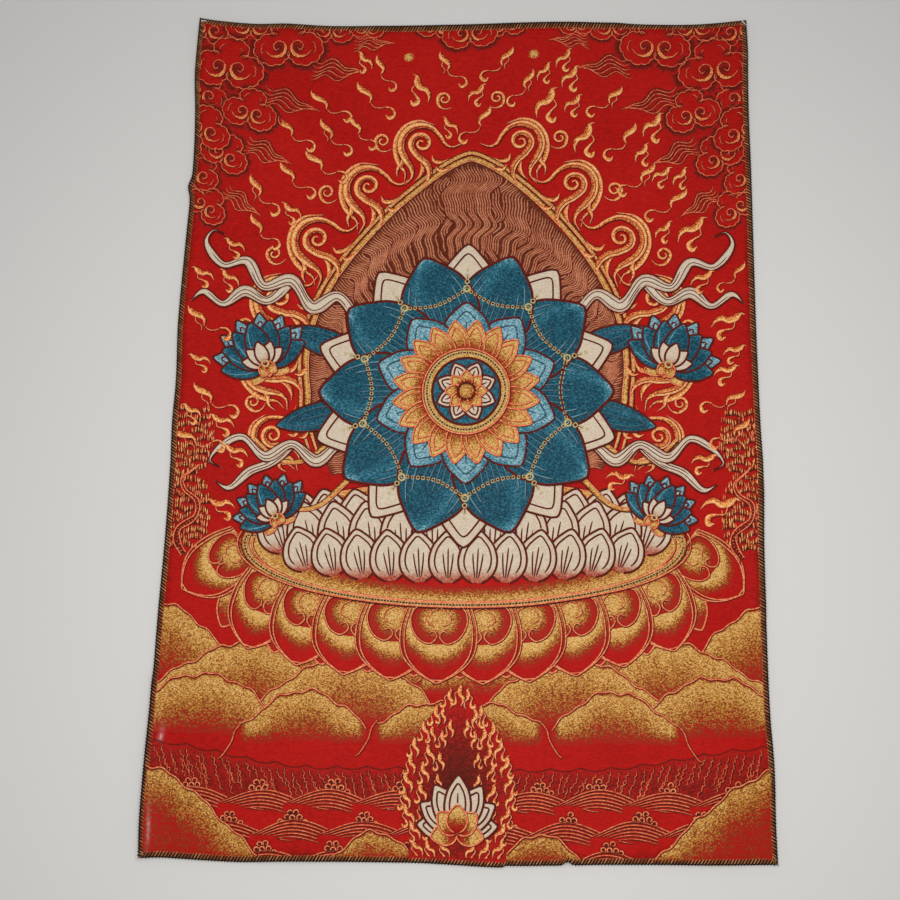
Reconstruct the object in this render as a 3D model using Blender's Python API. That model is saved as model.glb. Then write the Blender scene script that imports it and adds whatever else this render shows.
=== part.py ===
"""Wall hanging: a figured woven panel, overlocked all round and stapled up by its two top corners.

Frame: the cloth hangs in the XZ plane with its face towards -Y, and +Z is up. The origin is the
middle of the top edge. All lengths are in metres, and a share runs from 0 to 1 along an edge.
"""
import math

import bmesh
import bpy
from mathutils import Matrix, Vector

MM = 0.001

# Cloth
WIDTH = 0.620            # between the outer edges of the overlocking
DROP = 0.898             # top edge to bottom edge, down the middle
CLOTH_THICK = 1.0 * MM
CELL = 21 * MM           # spacing of the points that carry the cloth's folds
CLEARANCE = 0.3 * MM     # between two pieces that touch

# Overlocked rim: the threads that wrap the cut edge in one run round all four sides
RIM_WIDTH = 5.5 * MM
RIM_WALL = 0.5 * MM
RIM_ROUND = 0.4 * MM     # chamfer of its outer corners
RUN_ON_START = 0.43      # where the end of the run starts to lie over its beginning, on the bottom edge
RUN_ON_END = 0.570
RUN_ON_DROP = 1.8 * MM
RUN_ON_THICKER = 0.3 * MM
RUN_ON_STEP = 3 * MM

# Staples
STAPLE_CROWN = 6.2 * MM
STAPLE_LEG = 6.5 * MM
WIRE_DEEP = 0.6 * MM
WIRE_WIDE = 0.6 * MM
WIRE_BEND = 0.5 * MM
WIRE_TIP = 0.9 * MM
BEND_STEPS = 3

# Height of the top and bottom edges above their level lines, in mm
TOP_AND_BOTTOM = (
    # share   top  bottom
    (0.00,   4.3,   2.1),
    (0.04,   0.8,   1.9),
    (0.10,  -2.3,   0.3),
    (0.16,  -3.2,  -0.6),
    (0.24,  -5.5,   1.2),
    (0.34,  -3.5,   1.7),
    (0.50,   0.0,   1.6),
    (0.60,   3.0,   1.5),
    (0.68,   4.2,   2.9),
    (0.75,   3.1,   3.9),
    (0.80,   0.7,   4.5),
    (0.88,   1.1,   5.5),
    (0.94,   3.8,   6.2),
    (1.00,   8.3,   6.9),
)

# Shift of the two side edges to the right of their plumb lines, in mm
SIDES = (
    # share  left  right
    (0.00,   1.0,   1.6),
    (0.04,   0.3,   2.2),
    (0.08,   0.0,   1.1),
    (0.13,   3.2,   0.3),
    (0.20,   5.0,   0.3),
    (0.30,   2.5,  -0.5),
    (0.40,   0.4,  -1.2),
    (0.47,   2.4,  -1.1),
    (0.52,   1.4,  -0.7),
    (0.57,   2.6,   0.3),
    (0.66,   2.3,  -2.5),
    (0.74,   0.5,  -3.0),
    (0.84,  -0.4,  -2.9),
    (0.90,  -2.2,  -0.7),
    (0.96,  -2.9,  -1.5),
    (1.00,  -1.2,  -1.1),
)

# Small marks in the outline, in mm
MARKS = (
    # edge      share  half width  inwards  fades over
    ("left",    0.228,    9.0,      -3.0,     30.0),   # a snag pulls the side out
    ("bottom",  0.672,    4.0,       3.0,      6.0),   # broken stitches leave a nick
)

# Soft folds: ridges that stand towards the viewer (or, below nought, troughs), in mm
FOLDS = (
    # across  down   across  down  half width  lift
    (0.05,    0.05,   0.40,  0.27,    24.0,     2.4),   # slack that falls from the left staple
    (0.05,    0.16,   0.27,  0.42,    22.0,    -0.8),
    (0.95,    0.05,   0.68,  0.24,    22.0,     1.9),   # slack that falls from the right staple
    (0.95,    0.15,   0.80,  0.38,    20.0,    -0.6),
    (0.17,    0.00,   0.31,  0.03,    26.0,     2.6),   # the top edge leans out where it sags
    (0.78,    0.00,   0.87,  0.02,    20.0,     1.7),
    (0.34,    0.44,   0.25,  1.00,    42.0,     2.1),   # long soft waves down to the bottom edge
    (0.60,    0.52,   0.57,  1.00,    46.0,     1.7),
    (0.83,    0.40,   0.90,  1.00,    36.0,     2.2),
    (0.45,    0.70,   0.43,  1.00,    26.0,    -0.7),
    (0.00,    0.23,   0.08,  0.24,    10.0,     1.6),   # pucker behind the snag
    (0.00,    0.82,   0.00,  1.00,    13.0,     3.4),   # the lower left edge curls forwards
    (1.00,    0.60,   1.00,  0.72,    14.0,     1.8),
    (0.67,    1.00,   0.67,  0.99,    16.0,     1.4),
)

# Where each staple's crown sits: its middle from the side edge and below the top edge, and its turn
STAPLES = (
    # name            side  from side  below top  turn in degrees
    ("staple_left",   "left",    5.9,     4.0,       2.0),
    ("staple_right",  "right",   3.7,     4.1,      50.0),
)

CLOTH_COLOUR = (0.402, 0.008, 0.010)
THREAD_COLOUR = (0.048, 0.030, 0.012)
STEEL_COLOUR = (0.700, 0.690, 0.670)


def clear_scene():
    """Start from an empty scene."""
    for item in list(bpy.data.objects):
        bpy.data.objects.remove(item, do_unlink=True)


def material(name, colour, roughness, metallic=0.0):
    """Principled material of one colour."""
    made = bpy.data.materials.new(name)
    made.use_nodes = True
    shader = made.node_tree.nodes["Principled BSDF"]
    shader.inputs["Base Color"].default_value = (*colour, 1.0)
    shader.inputs["Roughness"].default_value = roughness
    shader.inputs["Metallic"].default_value = metallic
    made.diffuse_color = (*colour, 1.0)
    return made


def finish(name, mesh_data, surface):
    """Turn a bmesh into a named object with its material."""
    bmesh.ops.recalc_face_normals(mesh_data, faces=mesh_data.faces)
    mesh = bpy.data.meshes.new(name)
    mesh_data.to_mesh(mesh)
    mesh_data.free()
    mesh.materials.append(surface)
    mesh.shade_smooth()
    mesh.set_sharp_from_angle(angle=math.radians(40))
    thing = bpy.data.objects.new(name, mesh)
    bpy.context.scene.collection.objects.link(thing)
    return thing


def smoothstep(value):
    """Ease from 0 to 1."""
    value = min(max(value, 0.0), 1.0)
    return value * value * (3 - 2 * value)


def slope(rows, column, index):
    """Slope of a table's column at one row, from the rows on either side of it."""
    before = rows[max(index - 1, 0)]
    after = rows[min(index + 1, len(rows) - 1)]
    return (after[column] - before[column]) / (after[0] - before[0])


def along(rows, column, share):
    """Smooth curve through one column of an edge table, in metres."""
    share = min(max(share, rows[0][0]), rows[-1][0])
    index = max(i for i in range(len(rows) - 1) if rows[i][0] <= share)
    start, end = rows[index], rows[index + 1]
    span = end[0] - start[0]
    t = (share - start[0]) / span
    bend_out = slope(rows, column, index) * span
    bend_in = slope(rows, column, index + 1) * span
    value = (start[column] * (1 + 2 * t) * (1 - t) ** 2 + bend_out * t * (1 - t) ** 2
             + end[column] * t * t * (3 - 2 * t) + bend_in * t * t * (t - 1))
    return value * MM


def mark(edge, share, length, inset):
    """How far the small marks move an edge inwards, at a depth inside it."""
    moved = 0.0
    for marked, centre, half_width, inwards, fade in MARKS:
        if marked == edge:
            near = math.exp(-((share - centre) * length / (half_width * MM)) ** 2)
            moved += inwards * MM * near * math.exp(-(inset / (fade * MM)) ** 2)
    return moved


def run_on(share):
    """1 where the end of the overlocking lies over its beginning, easing in and ending in a step."""
    if share <= RUN_ON_END:
        return smoothstep((share - RUN_ON_START) / (RUN_ON_END - RUN_ON_START))
    return 1 - smoothstep((share - RUN_ON_END) * WIDTH / RUN_ON_STEP)


def lift(x, down):
    """How far the folds bring the cloth forwards."""
    point = Vector((x, down * DROP))
    total = 0.0
    for across_0, down_0, across_1, down_1, half_width, height in FOLDS:
        start = Vector(((across_0 - 0.5) * WIDTH, down_0 * DROP))
        course = Vector(((across_1 - 0.5) * WIDTH, down_1 * DROP)) - start
        t = min(max((point - start).dot(course) / course.length_squared, 0.0), 1.0)
        distance = (point - start - course * t).length
        total += height * MM * math.exp(-(distance / (half_width * MM)) ** 2)
    return total


def middle(across, down):
    """Point in the middle of the cloth's thickness."""
    inset_left, inset_right = across * WIDTH, (1 - across) * WIDTH
    inset_bottom = (1 - down) * DROP
    left = -WIDTH / 2 + along(SIDES, 1, down) + mark("left", down, DROP, inset_left)
    right = WIDTH / 2 + along(SIDES, 2, down) - mark("right", down, DROP, inset_right)
    top = along(TOP_AND_BOTTOM, 1, across)
    bottom = -DROP + along(TOP_AND_BOTTOM, 2, across) + mark("bottom", across, WIDTH, inset_bottom)
    bottom -= RUN_ON_DROP * run_on(across) * math.exp(-inset_bottom / RIM_WIDTH)
    x = left + (right - left) * across
    return Vector((x, -lift(x, down), top + (bottom - top) * down))


def on_cloth(across, down, forwards):
    """Point a given distance in front of the middle of the cloth."""
    step = 0.002
    right = middle(across + step, down) - middle(across - step, down)
    below = middle(across, down + step) - middle(across, down - step)
    return middle(across, down) + below.cross(right).normalized() * -forwards


def grid_lines(length, extra=()):
    """Shares of the grid lines along one direction: the rim's own, even ones, and extra ones."""
    rim = [(RIM_WALL + CLEARANCE) / length, RIM_WIDTH / length]
    fixed = rim + list(extra) + [1 - share for share in reversed(rim)]
    count = round(length / CELL)
    even = [i / count for i in range(1, count)]
    spare = [share for share in even if min(abs(share - other) for other in fixed) * length > CELL / 3]
    return sorted(fixed + spare)


def bottom_mark_lines():
    """Extra lines across, where the bottom edge has its step and its nick."""
    lines = [RUN_ON_END, RUN_ON_END + RUN_ON_STEP / WIDTH]
    for edge, centre, half_width, _, _ in MARKS:
        if edge == "bottom":
            reach = 1.4 * half_width * MM / WIDTH
            lines += [centre - reach, centre, centre + reach]
    return lines


def side_mark_lines():
    """Extra lines down, where the left edge is snagged."""
    lines = []
    for edge, centre, half_width, _, _ in MARKS:
        if edge == "left":
            reach = half_width * MM / DROP
            lines += [centre - reach, centre, centre + reach]
    return lines


ACROSS = grid_lines(WIDTH, bottom_mark_lines())
DOWN = grid_lines(DROP, side_mark_lines())


def make_panel(surface):
    """The cloth: one thin closed sheet on its folds, just inside the overlocking."""
    cloth = bmesh.new()
    sides = []
    for forwards in (CLOTH_THICK / 2, -CLOTH_THICK / 2):
        sides.append([[cloth.verts.new(on_cloth(a, d, forwards)) for a in ACROSS] for d in DOWN])
    front, back = sides
    for r in range(len(DOWN) - 1):
        for c in range(len(ACROSS) - 1):
            for side in sides:
                cloth.faces.new((side[r][c], side[r][c + 1], side[r + 1][c + 1], side[r + 1][c]))
    border = [(0, c) for c in range(len(ACROSS))]
    border += [(r, len(ACROSS) - 1) for r in range(1, len(DOWN))]
    border += [(len(DOWN) - 1, c) for c in range(len(ACROSS) - 2, -1, -1)]
    border += [(r, 0) for r in range(len(DOWN) - 2, 0, -1)]
    for (r0, c0), (r1, c1) in zip(border, border[1:] + border[:1]):
        cloth.faces.new((front[r0][c0], front[r1][c1], back[r1][c1], back[r0][c0]))
    return finish("panel", cloth, surface)


def rim_section(extra):
    """Section of the rim as (inset from the outline, distance in front of the middle)."""
    inner = CLOTH_THICK / 2 + CLEARANCE
    outer = inner + RIM_WALL + extra
    half = [(0.0, outer - RIM_ROUND), (RIM_ROUND, outer), (RIM_WIDTH, outer), (RIM_WIDTH, inner),
            (RIM_WALL, inner)]
    return half + [(inset, -forwards) for inset, forwards in reversed(half)]


def rim_stations():
    """Stations round the outline: each takes an inset and gives a place on the cloth."""
    across, down = ACROSS[1:-1], DOWN[1:-1]
    stations = [lambda i: (i / WIDTH, i / DROP)]
    stations += [lambda i, a=a: (a, i / DROP) for a in across]
    stations += [lambda i: (1 - i / WIDTH, i / DROP)]
    stations += [lambda i, d=d: (1 - i / WIDTH, d) for d in down]
    stations += [lambda i: (1 - i / WIDTH, 1 - i / DROP)]
    stations += [lambda i, a=a: (a, 1 - i / DROP) for a in reversed(across)]
    stations += [lambda i: (i / WIDTH, 1 - i / DROP)]
    stations += [lambda i, d=d: (i / WIDTH, d) for d in reversed(down)]
    return stations


def make_rim(surface):
    """The overlocking: a channel that wraps the cloth's edge all the way round."""
    rim = bmesh.new()
    rings = []
    for station in rim_stations():
        across, down = station(0.0)
        extra = RUN_ON_THICKER * run_on(across) if down > 0.5 else 0.0
        ring = [rim.verts.new(on_cloth(*station(inset), forwards)) for inset, forwards in rim_section(extra)]
        rings.append(ring)
    for ring, following in zip(rings, rings[1:] + rings[:1]):
        for i in range(len(ring)):
            j = (i + 1) % len(ring)
            rim.faces.new((ring[i], ring[j], following[j], following[i]))
    return finish("overlock_edge", rim, surface)


def staple_outline():
    """Outline of a staple from above: x along its crown, y into the wall."""
    half = STAPLE_CROWN / 2
    bend = []
    for step in range(BEND_STEPS + 1):
        turn = math.radians(90 * step / BEND_STEPS)
        bend.append((half - WIRE_BEND + WIRE_BEND * math.sin(turn), WIRE_BEND - WIRE_BEND * math.cos(turn)))
    tip = [(half, STAPLE_LEG - WIRE_TIP), (half - WIRE_DEEP / 2, STAPLE_LEG),
           (half - WIRE_DEEP, STAPLE_LEG - WIRE_TIP), (half - WIRE_DEEP, WIRE_DEEP)]
    right = bend + tip
    return right + [(-x, y) for x, y in reversed(right)]


def staple_place(side, from_side, below_top, turn):
    """Matrix that puts a staple's crown just in front of the overlocking."""
    across = from_side * MM / WIDTH
    place = middle(1 - across if side == "right" else across, below_top * MM / DROP)
    place.y -= CLOTH_THICK / 2 + 2 * CLEARANCE + RIM_WALL + WIRE_DEEP
    return Matrix.Translation(place) @ Matrix.Rotation(math.radians(turn), 4, "Y")


def make_staple(name, place, surface):
    """A bent wire staple, driven in from the front."""
    wire = bmesh.new()
    outline = [wire.verts.new((x, y, -WIRE_WIDE / 2)) for x, y in staple_outline()]
    face = wire.faces.new(outline)
    grown = bmesh.ops.extrude_face_region(wire, geom=[face])["geom"]
    bmesh.ops.translate(wire, vec=(0, 0, WIRE_WIDE), verts=[v for v in grown if isinstance(v, bmesh.types.BMVert)])
    staple = finish(name, wire, surface)
    staple.matrix_world = place
    return staple


def make_leg_cutter(name, place, side):
    """Clearance hole for one staple leg."""
    box = bmesh.new()
    bmesh.ops.create_cube(box, size=1.0)
    size = (WIRE_DEEP + 2 * CLEARANCE, 4 * STAPLE_LEG, WIRE_WIDE + 2 * CLEARANCE)
    bmesh.ops.scale(box, vec=size, verts=box.verts)
    leg = side * (STAPLE_CROWN - WIRE_DEEP) / 2
    bmesh.ops.translate(box, vec=(leg, 0, 0), verts=box.verts)
    mesh = bpy.data.meshes.new(name)
    box.to_mesh(mesh)
    box.free()
    cutter = bpy.data.objects.new(name, mesh)
    bpy.context.scene.collection.objects.link(cutter)
    cutter.matrix_world = place
    cutter.hide_render = True
    cutter.display_type = "WIRE"
    return cutter


def pierce(thing, cutters):
    """Cut the staples' holes through a piece."""
    for cutter in cutters:
        cut = thing.modifiers.new(cutter.name, "BOOLEAN")
        cut.operation = "DIFFERENCE"
        cut.solver = "EXACT"
        cut.object = cutter


def main():
    clear_scene()
    panel = make_panel(material("figured cloth", CLOTH_COLOUR, 0.6))
    rim = make_rim(material("overlock thread", THREAD_COLOUR, 0.7))
    steel = material("staple wire", STEEL_COLOUR, 0.35, metallic=1.0)
    cutters = []
    for name, side, from_side, below_top, turn in STAPLES:
        place = staple_place(side, from_side, below_top, turn)
        make_staple(name, place, steel)
        cutters += [make_leg_cutter(f"{name}_hole_{leg}", place, leg) for leg in (-1, 1)]
    pierce(panel, cutters)
    pierce(rim, cutters)


main()
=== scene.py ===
import math

import bpy
import numpy as np
from mathutils import Euler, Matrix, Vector


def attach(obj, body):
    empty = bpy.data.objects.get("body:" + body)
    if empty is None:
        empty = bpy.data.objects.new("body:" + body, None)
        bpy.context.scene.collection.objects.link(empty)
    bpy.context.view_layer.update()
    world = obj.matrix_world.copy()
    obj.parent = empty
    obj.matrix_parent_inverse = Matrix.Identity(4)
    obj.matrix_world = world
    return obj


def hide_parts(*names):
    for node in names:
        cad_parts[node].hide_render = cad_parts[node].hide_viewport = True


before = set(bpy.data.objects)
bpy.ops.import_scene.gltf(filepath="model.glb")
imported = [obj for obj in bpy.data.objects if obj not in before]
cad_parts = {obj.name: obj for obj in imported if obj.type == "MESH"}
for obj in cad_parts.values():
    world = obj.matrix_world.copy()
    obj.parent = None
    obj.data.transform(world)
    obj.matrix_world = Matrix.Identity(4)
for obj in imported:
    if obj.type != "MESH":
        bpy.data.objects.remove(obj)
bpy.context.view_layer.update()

# Everything below is in metres, apart from the drawing of the woven figure, which is in millimetres on the flat
# cloth: x to the right of its middle, y up from its top edge.

MM = 0.001
DRAWS = np.random.default_rng(11)

# ---------------------------------------------------------------- the form in which the cloth hangs

WIDTH, DROP = 0.620, 0.898
WIDE, TALL, HALF = 620, 898, 310         # the same in mm, and half the width
CLOTH_THICK = 1.0 * MM
RIM_WIDTH = 5.5 * MM
RUN_ON_START, RUN_ON_END = 0.43, 0.570
RUN_ON_DROP, RUN_ON_STEP = 1.8 * MM, 3 * MM

# Height of the top and bottom edges above their level lines, in mm
TOP_AND_BOTTOM = np.array((
    # share   top  bottom
    (0.00,   4.3,   2.1),
    (0.04,   0.8,   1.9),
    (0.10,  -2.3,   0.3),
    (0.16,  -3.2,  -0.6),
    (0.24,  -5.5,   1.2),
    (0.34,  -3.5,   1.7),
    (0.50,   0.0,   1.6),
    (0.60,   3.0,   1.5),
    (0.68,   4.2,   2.9),
    (0.75,   3.1,   3.9),
    (0.80,   0.7,   4.5),
    (0.88,   1.1,   5.5),
    (0.94,   3.8,   6.2),
    (1.00,   8.3,   6.9),
))

# Shift of the two side edges to the right of their plumb lines, in mm
SIDES = np.array((
    # share  left  right
    (0.00,   1.0,   1.6),
    (0.04,   0.3,   2.2),
    (0.08,   0.0,   1.1),
    (0.13,   3.2,   0.3),
    (0.20,   5.0,   0.3),
    (0.30,   2.5,  -0.5),
    (0.40,   0.4,  -1.2),
    (0.47,   2.4,  -1.1),
    (0.52,   1.4,  -0.7),
    (0.57,   2.6,   0.3),
    (0.66,   2.3,  -2.5),
    (0.74,   0.5,  -3.0),
    (0.84,  -0.4,  -2.9),
    (0.90,  -2.2,  -0.7),
    (0.96,  -2.9,  -1.5),
    (1.00,  -1.2,  -1.1),
))

# Small marks in the outline, in mm
SNAG_SHARE, SNAG_HALF, SNAG_OUT, SNAG_FADE = 0.228, 9.0, 3.0, 30.0
NICK_SHARE, NICK_HALF, NICK_IN, NICK_FADE = 0.672, 4.0, 3.0, 6.0

# Soft folds: ridges that stand towards the viewer (or, below nought, troughs), in mm
FOLDS = (
    # across  down   across  down  half width  lift
    (0.05,    0.05,   0.40,  0.27,    24.0,     2.4),
    (0.05,    0.16,   0.27,  0.42,    22.0,    -0.8),
    (0.95,    0.05,   0.68,  0.24,    22.0,     1.9),
    (0.95,    0.15,   0.80,  0.38,    20.0,    -0.6),
    (0.17,    0.00,   0.31,  0.03,    26.0,     2.6),
    (0.78,    0.00,   0.87,  0.02,    20.0,     1.7),
    (0.34,    0.44,   0.25,  1.00,    42.0,     2.1),
    (0.60,    0.52,   0.57,  1.00,    46.0,     1.7),
    (0.83,    0.40,   0.90,  1.00,    36.0,     2.2),
    (0.45,    0.70,   0.43,  1.00,    26.0,    -0.7),
    (0.00,    0.23,   0.08,  0.24,    10.0,     1.6),
    (0.00,    0.82,   0.00,  1.00,    13.0,     3.4),
    (1.00,    0.60,   1.00,  0.72,    14.0,     1.8),
    (0.67,    1.00,   0.67,  0.99,    16.0,     1.4),
)


def smoothstep(value):
    """Ease from 0 to 1."""
    value = np.clip(value, 0.0, 1.0)
    return value * value * (3 - 2 * value)


def along(rows, column, share):
    """Smooth curve through one column of an edge table, in metres."""
    shares, values = rows[:, 0], rows[:, column]
    last = len(rows) - 1
    before, after = np.maximum(np.arange(last + 1) - 1, 0), np.minimum(np.arange(last + 1) + 1, last)
    slopes = (values[after] - values[before]) / (shares[after] - shares[before])
    share = np.clip(share, 0.0, 1.0)
    index = np.clip(np.searchsorted(shares, share, side="right") - 1, 0, last - 1)
    span = shares[index + 1] - shares[index]
    t = (share - shares[index]) / span
    value = (values[index] * (1 + 2 * t) * (1 - t) ** 2 + slopes[index] * span * t * (1 - t) ** 2
             + values[index + 1] * t * t * (3 - 2 * t) + slopes[index + 1] * span * t * t * (t - 1))
    return value * MM


def bump_at(distance, half_width):
    """Soft bump of height 1."""
    return np.exp(-(distance / half_width) ** 2)


def run_on(share):
    """1 where the end of the overlocking lies over its beginning, easing in and ending in a step."""
    rising = smoothstep((share - RUN_ON_START) / (RUN_ON_END - RUN_ON_START))
    falling = 1 - smoothstep((share - RUN_ON_END) * WIDTH / RUN_ON_STEP)
    return np.where(share <= RUN_ON_END, rising, falling)


def lift(x, down):
    """How far the folds bring the cloth forwards."""
    y = down * DROP
    total = np.zeros(np.broadcast(x, y).shape)
    for across_0, down_0, across_1, down_1, half_width, height in FOLDS:
        x0, y0 = (across_0 - 0.5) * WIDTH, down_0 * DROP
        dx, dy = (across_1 - 0.5) * WIDTH - x0, down_1 * DROP - y0
        t = np.clip(((x - x0) * dx + (y - y0) * dy) / (dx * dx + dy * dy), 0.0, 1.0)
        distance = np.hypot(x - x0 - t * dx, y - y0 - t * dy)
        total += height * MM * bump_at(distance, half_width * MM)
    return total


def middle(across, down):
    """Points in the middle of the cloth's thickness."""
    inset_left, inset_bottom = across * WIDTH, (1 - down) * DROP
    snag = SNAG_OUT * MM * bump_at((down - SNAG_SHARE) * DROP, SNAG_HALF * MM)
    nick = NICK_IN * MM * bump_at((across - NICK_SHARE) * WIDTH, NICK_HALF * MM)
    left = -WIDTH / 2 + along(SIDES, 1, down) - snag * bump_at(inset_left, SNAG_FADE * MM)
    right = WIDTH / 2 + along(SIDES, 2, down)
    top = along(TOP_AND_BOTTOM, 1, across)
    bottom = -DROP + along(TOP_AND_BOTTOM, 2, across) + nick * bump_at(inset_bottom, NICK_FADE * MM)
    bottom = bottom - RUN_ON_DROP * run_on(across) * np.exp(-inset_bottom / RIM_WIDTH)
    x = left + (right - left) * across
    return np.stack((x, -lift(x, down), top + (bottom - top) * down), axis=-1)


def facing(across, down):
    """Unit vectors that point out of the cloth's face."""
    step = 0.002
    right = middle(across + step, down) - middle(across - step, down)
    below = middle(across, down + step) - middle(across, down - step)
    out = np.cross(right, below)
    return out / -np.linalg.norm(out, axis=-1, keepdims=True)


def on_cloth(across, down, forwards):
    """Points a given distance in front of the middle of the cloth."""
    return middle(across, down) + facing(across, down) * np.asarray(forwards)[..., None]


def cloth_shares(places):
    """Shares of the way across and down the cloth, for places on it in mm."""
    return 0.5 + places[:, 0] / WIDE, -places[:, 1] / TALL


def on_face(places, heights):
    """World points of places on the flat cloth, in mm, at heights over its face, in mm."""
    return on_cloth(*cloth_shares(places), CLOTH_THICK / 2 + heights * MM)


def inset_of(places):
    """Distance from places on the cloth to its nearest edge, in mm."""
    return np.minimum(HALF - np.abs(places[:, 0]), TALL / 2 - np.abs(places[:, 1] + TALL / 2))


# ---------------------------------------------------------------- meshes and materials

def srgb(*colour):
    """Linear colour from the usual 0 to 255 values."""
    return tuple((c / 255 / 12.92) if c <= 10 else ((c / 255 + 0.055) / 1.055) ** 2.4 for c in colour)


def add_object(name, data):
    """New object in the scene."""
    thing = bpy.data.objects.new(name, data)
    bpy.context.scene.collection.objects.link(thing)
    return thing


def make_mesh(name, points, faces, materials, tones=None, smooth=True):
    """Mesh object from arrays of points and of faces, all with the same number of corners."""
    mesh = bpy.data.meshes.new(name)
    faces = np.asarray(faces, np.int32)
    corners = faces.shape[1]
    mesh.vertices.add(len(points))
    mesh.vertices.foreach_set("co", np.asarray(points, np.float32).ravel())
    mesh.loops.add(faces.size)
    mesh.loops.foreach_set("vertex_index", faces.ravel())
    mesh.polygons.add(len(faces))
    mesh.polygons.foreach_set("loop_start", np.arange(len(faces), dtype=np.int32) * corners)
    mesh.polygons.foreach_set("loop_total", np.full(len(faces), corners, np.int32))
    mesh.update(calc_edges=True)
    mesh.validate()
    if tones is not None:
        mesh.attributes.new("tone", "FLOAT", "POINT").data.foreach_set("value", tones.astype(np.float32))
    if smooth:
        mesh.shade_smooth()
    for material in materials:
        mesh.materials.append(material)
    return add_object(name, mesh)


def grid_faces(rows, columns, wrap=False):
    """Quads of a grid of points numbered row by row."""
    r = np.arange(rows - 1)[:, None]
    c = np.arange(columns if wrap else columns - 1)[None, :]
    after = (c + 1) % columns
    corners = (r * columns + c, r * columns + after, (r + 1) * columns + after, (r + 1) * columns + c)
    return np.stack([np.broadcast_to(k, (rows - 1, c.shape[1])) for k in corners], -1).reshape(-1, 4)


def border_of(grid):
    """What lies round the border of a grid, in turn."""
    return np.concatenate((grid[0], grid[1:, -1], grid[-1, -2::-1], grid[-2:0:-1, 0]))


def set_inputs(tree, node, inputs):
    """Give a node's inputs their plain values, or link them to the sockets given for them."""
    for key, value in inputs.items():
        if isinstance(value, bpy.types.NodeSocket):
            tree.links.new(value, node.inputs[key])
        else:
            node.inputs[key].default_value = value


def add_node(tree, kind, inputs=None, **settings):
    """New shader or geometry node with its settings and inputs."""
    node = tree.nodes.new(kind)
    for key, value in settings.items():
        setattr(node, key, value)
    set_inputs(tree, node, inputs or {})
    return node


def maths(tree, operation, *values, clamp=False):
    """Output of one Math node."""
    return add_node(tree, "ShaderNodeMath", dict(enumerate(values)), operation=operation, use_clamp=clamp).outputs[0]


def weighted(tree, first, weight, second, other_weight):
    """Sum of two values, each times its weight."""
    return maths(tree, "ADD", maths(tree, "MULTIPLY", first, weight), maths(tree, "MULTIPLY", second, other_weight))


def remapped(tree, value, **limits):
    """Output of one Map Range node, with limits such as To_Min."""
    inputs = {key.replace("_", " "): limit for key, limit in limits.items()}
    return add_node(tree, "ShaderNodeMapRange", {"Value": value, **inputs}).outputs[0]


def noise(tree, coordinates, scale, detail, roughness=0.5):
    """Output of one Noise Texture node."""
    return add_node(tree, "ShaderNodeTexNoise", {"Vector": coordinates, "Scale": scale, "Detail": detail,
                                                 "Roughness": roughness}).outputs["Fac"]


def new_group(name, kind, inputs, outputs):
    """New node group with its sockets, each a name and a type, and what comes in through them."""
    tree = bpy.data.node_groups.new(name, kind)
    for way, sockets in (("INPUT", inputs), ("OUTPUT", outputs)):
        for label, socket in sockets:
            tree.interface.new_socket(name=label, in_out=way, socket_type="NodeSocket" + socket)
    return tree, add_node(tree, "NodeGroupInput").outputs


def weft_grain_group():
    """Short weft floats in rows: a speckle for each float, and the rounded relief of the rows."""
    tree, given = new_group(
        "weft floats", "ShaderNodeTree",
        (("Coordinates", "Vector"), ("Row", "Float"), ("Float length", "Float"), ("Clumps", "Float")),
        (("Speckle", "Float"), ("Relief", "Float")))
    split = add_node(tree, "ShaderNodeSeparateXYZ", {0: given["Coordinates"]}).outputs
    rows = maths(tree, "DIVIDE", split["Z"], given["Row"])
    row = maths(tree, "FLOOR", rows)
    shift = add_node(tree, "ShaderNodeTexWhiteNoise", {"W": row}, noise_dimensions="1D").outputs["Value"]
    cells = maths(tree, "ADD", maths(tree, "DIVIDE", split["X"], given["Float length"]), shift)
    spot = add_node(tree, "ShaderNodeCombineXYZ", {"X": maths(tree, "FLOOR", cells), "Y": row}).outputs[0]
    fleck = add_node(tree, "ShaderNodeTexWhiteNoise", {"Vector": spot}, noise_dimensions="2D").outputs["Value"]
    clump = noise(tree, given["Coordinates"], given["Clumps"], 2.0, 0.6)
    speckle = weighted(tree, fleck, 0.72, remapped(tree, clump, From_Min=0.28, From_Max=0.72), 0.28)
    round_row, round_float = (maths(tree, "SINE", maths(tree, "MULTIPLY", maths(tree, "FRACT", part), math.pi))
                              for part in (rows, cells))
    relief = maths(tree, "MULTIPLY", round_row, maths(tree, "POWER", round_float, 0.4))
    add_node(tree, "NodeGroupOutput", {"Speckle": speckle, "Relief": relief})
    return tree


WEFT_FLOATS = weft_grain_group()


def woven_floats(tree, coordinates, row, length, clumps):
    """Speckle and relief of floats, with the height of their rows and their length in mm."""
    return add_node(tree, "ShaderNodeGroup", {"Coordinates": coordinates, "Row": row * MM, "Float length": length * MM,
                                              "Clumps": clumps}, node_tree=WEFT_FLOATS).outputs


def principled(name):
    """New node material: its tree, its shader, and its Object coordinates."""
    material = bpy.data.materials.new(name)
    material.use_nodes = True
    tree = material.node_tree
    coordinates = add_node(tree, "ShaderNodeTexCoord").outputs["Object"]
    return material, tree, tree.nodes["Principled BSDF"], coordinates


def surface(tree, shader, colour, bump, inputs):
    """Link a shader to its colour and to a bump, given as strength, distance in mm and height, and set the rest."""
    strength, distance, height = bump
    raised = add_node(tree, "ShaderNodeBump", {"Strength": strength, "Distance": distance * MM, "Height": height})
    set_inputs(tree, shader, {"Base Color": colour, "Normal": raised.outputs[0], **inputs})


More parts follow.
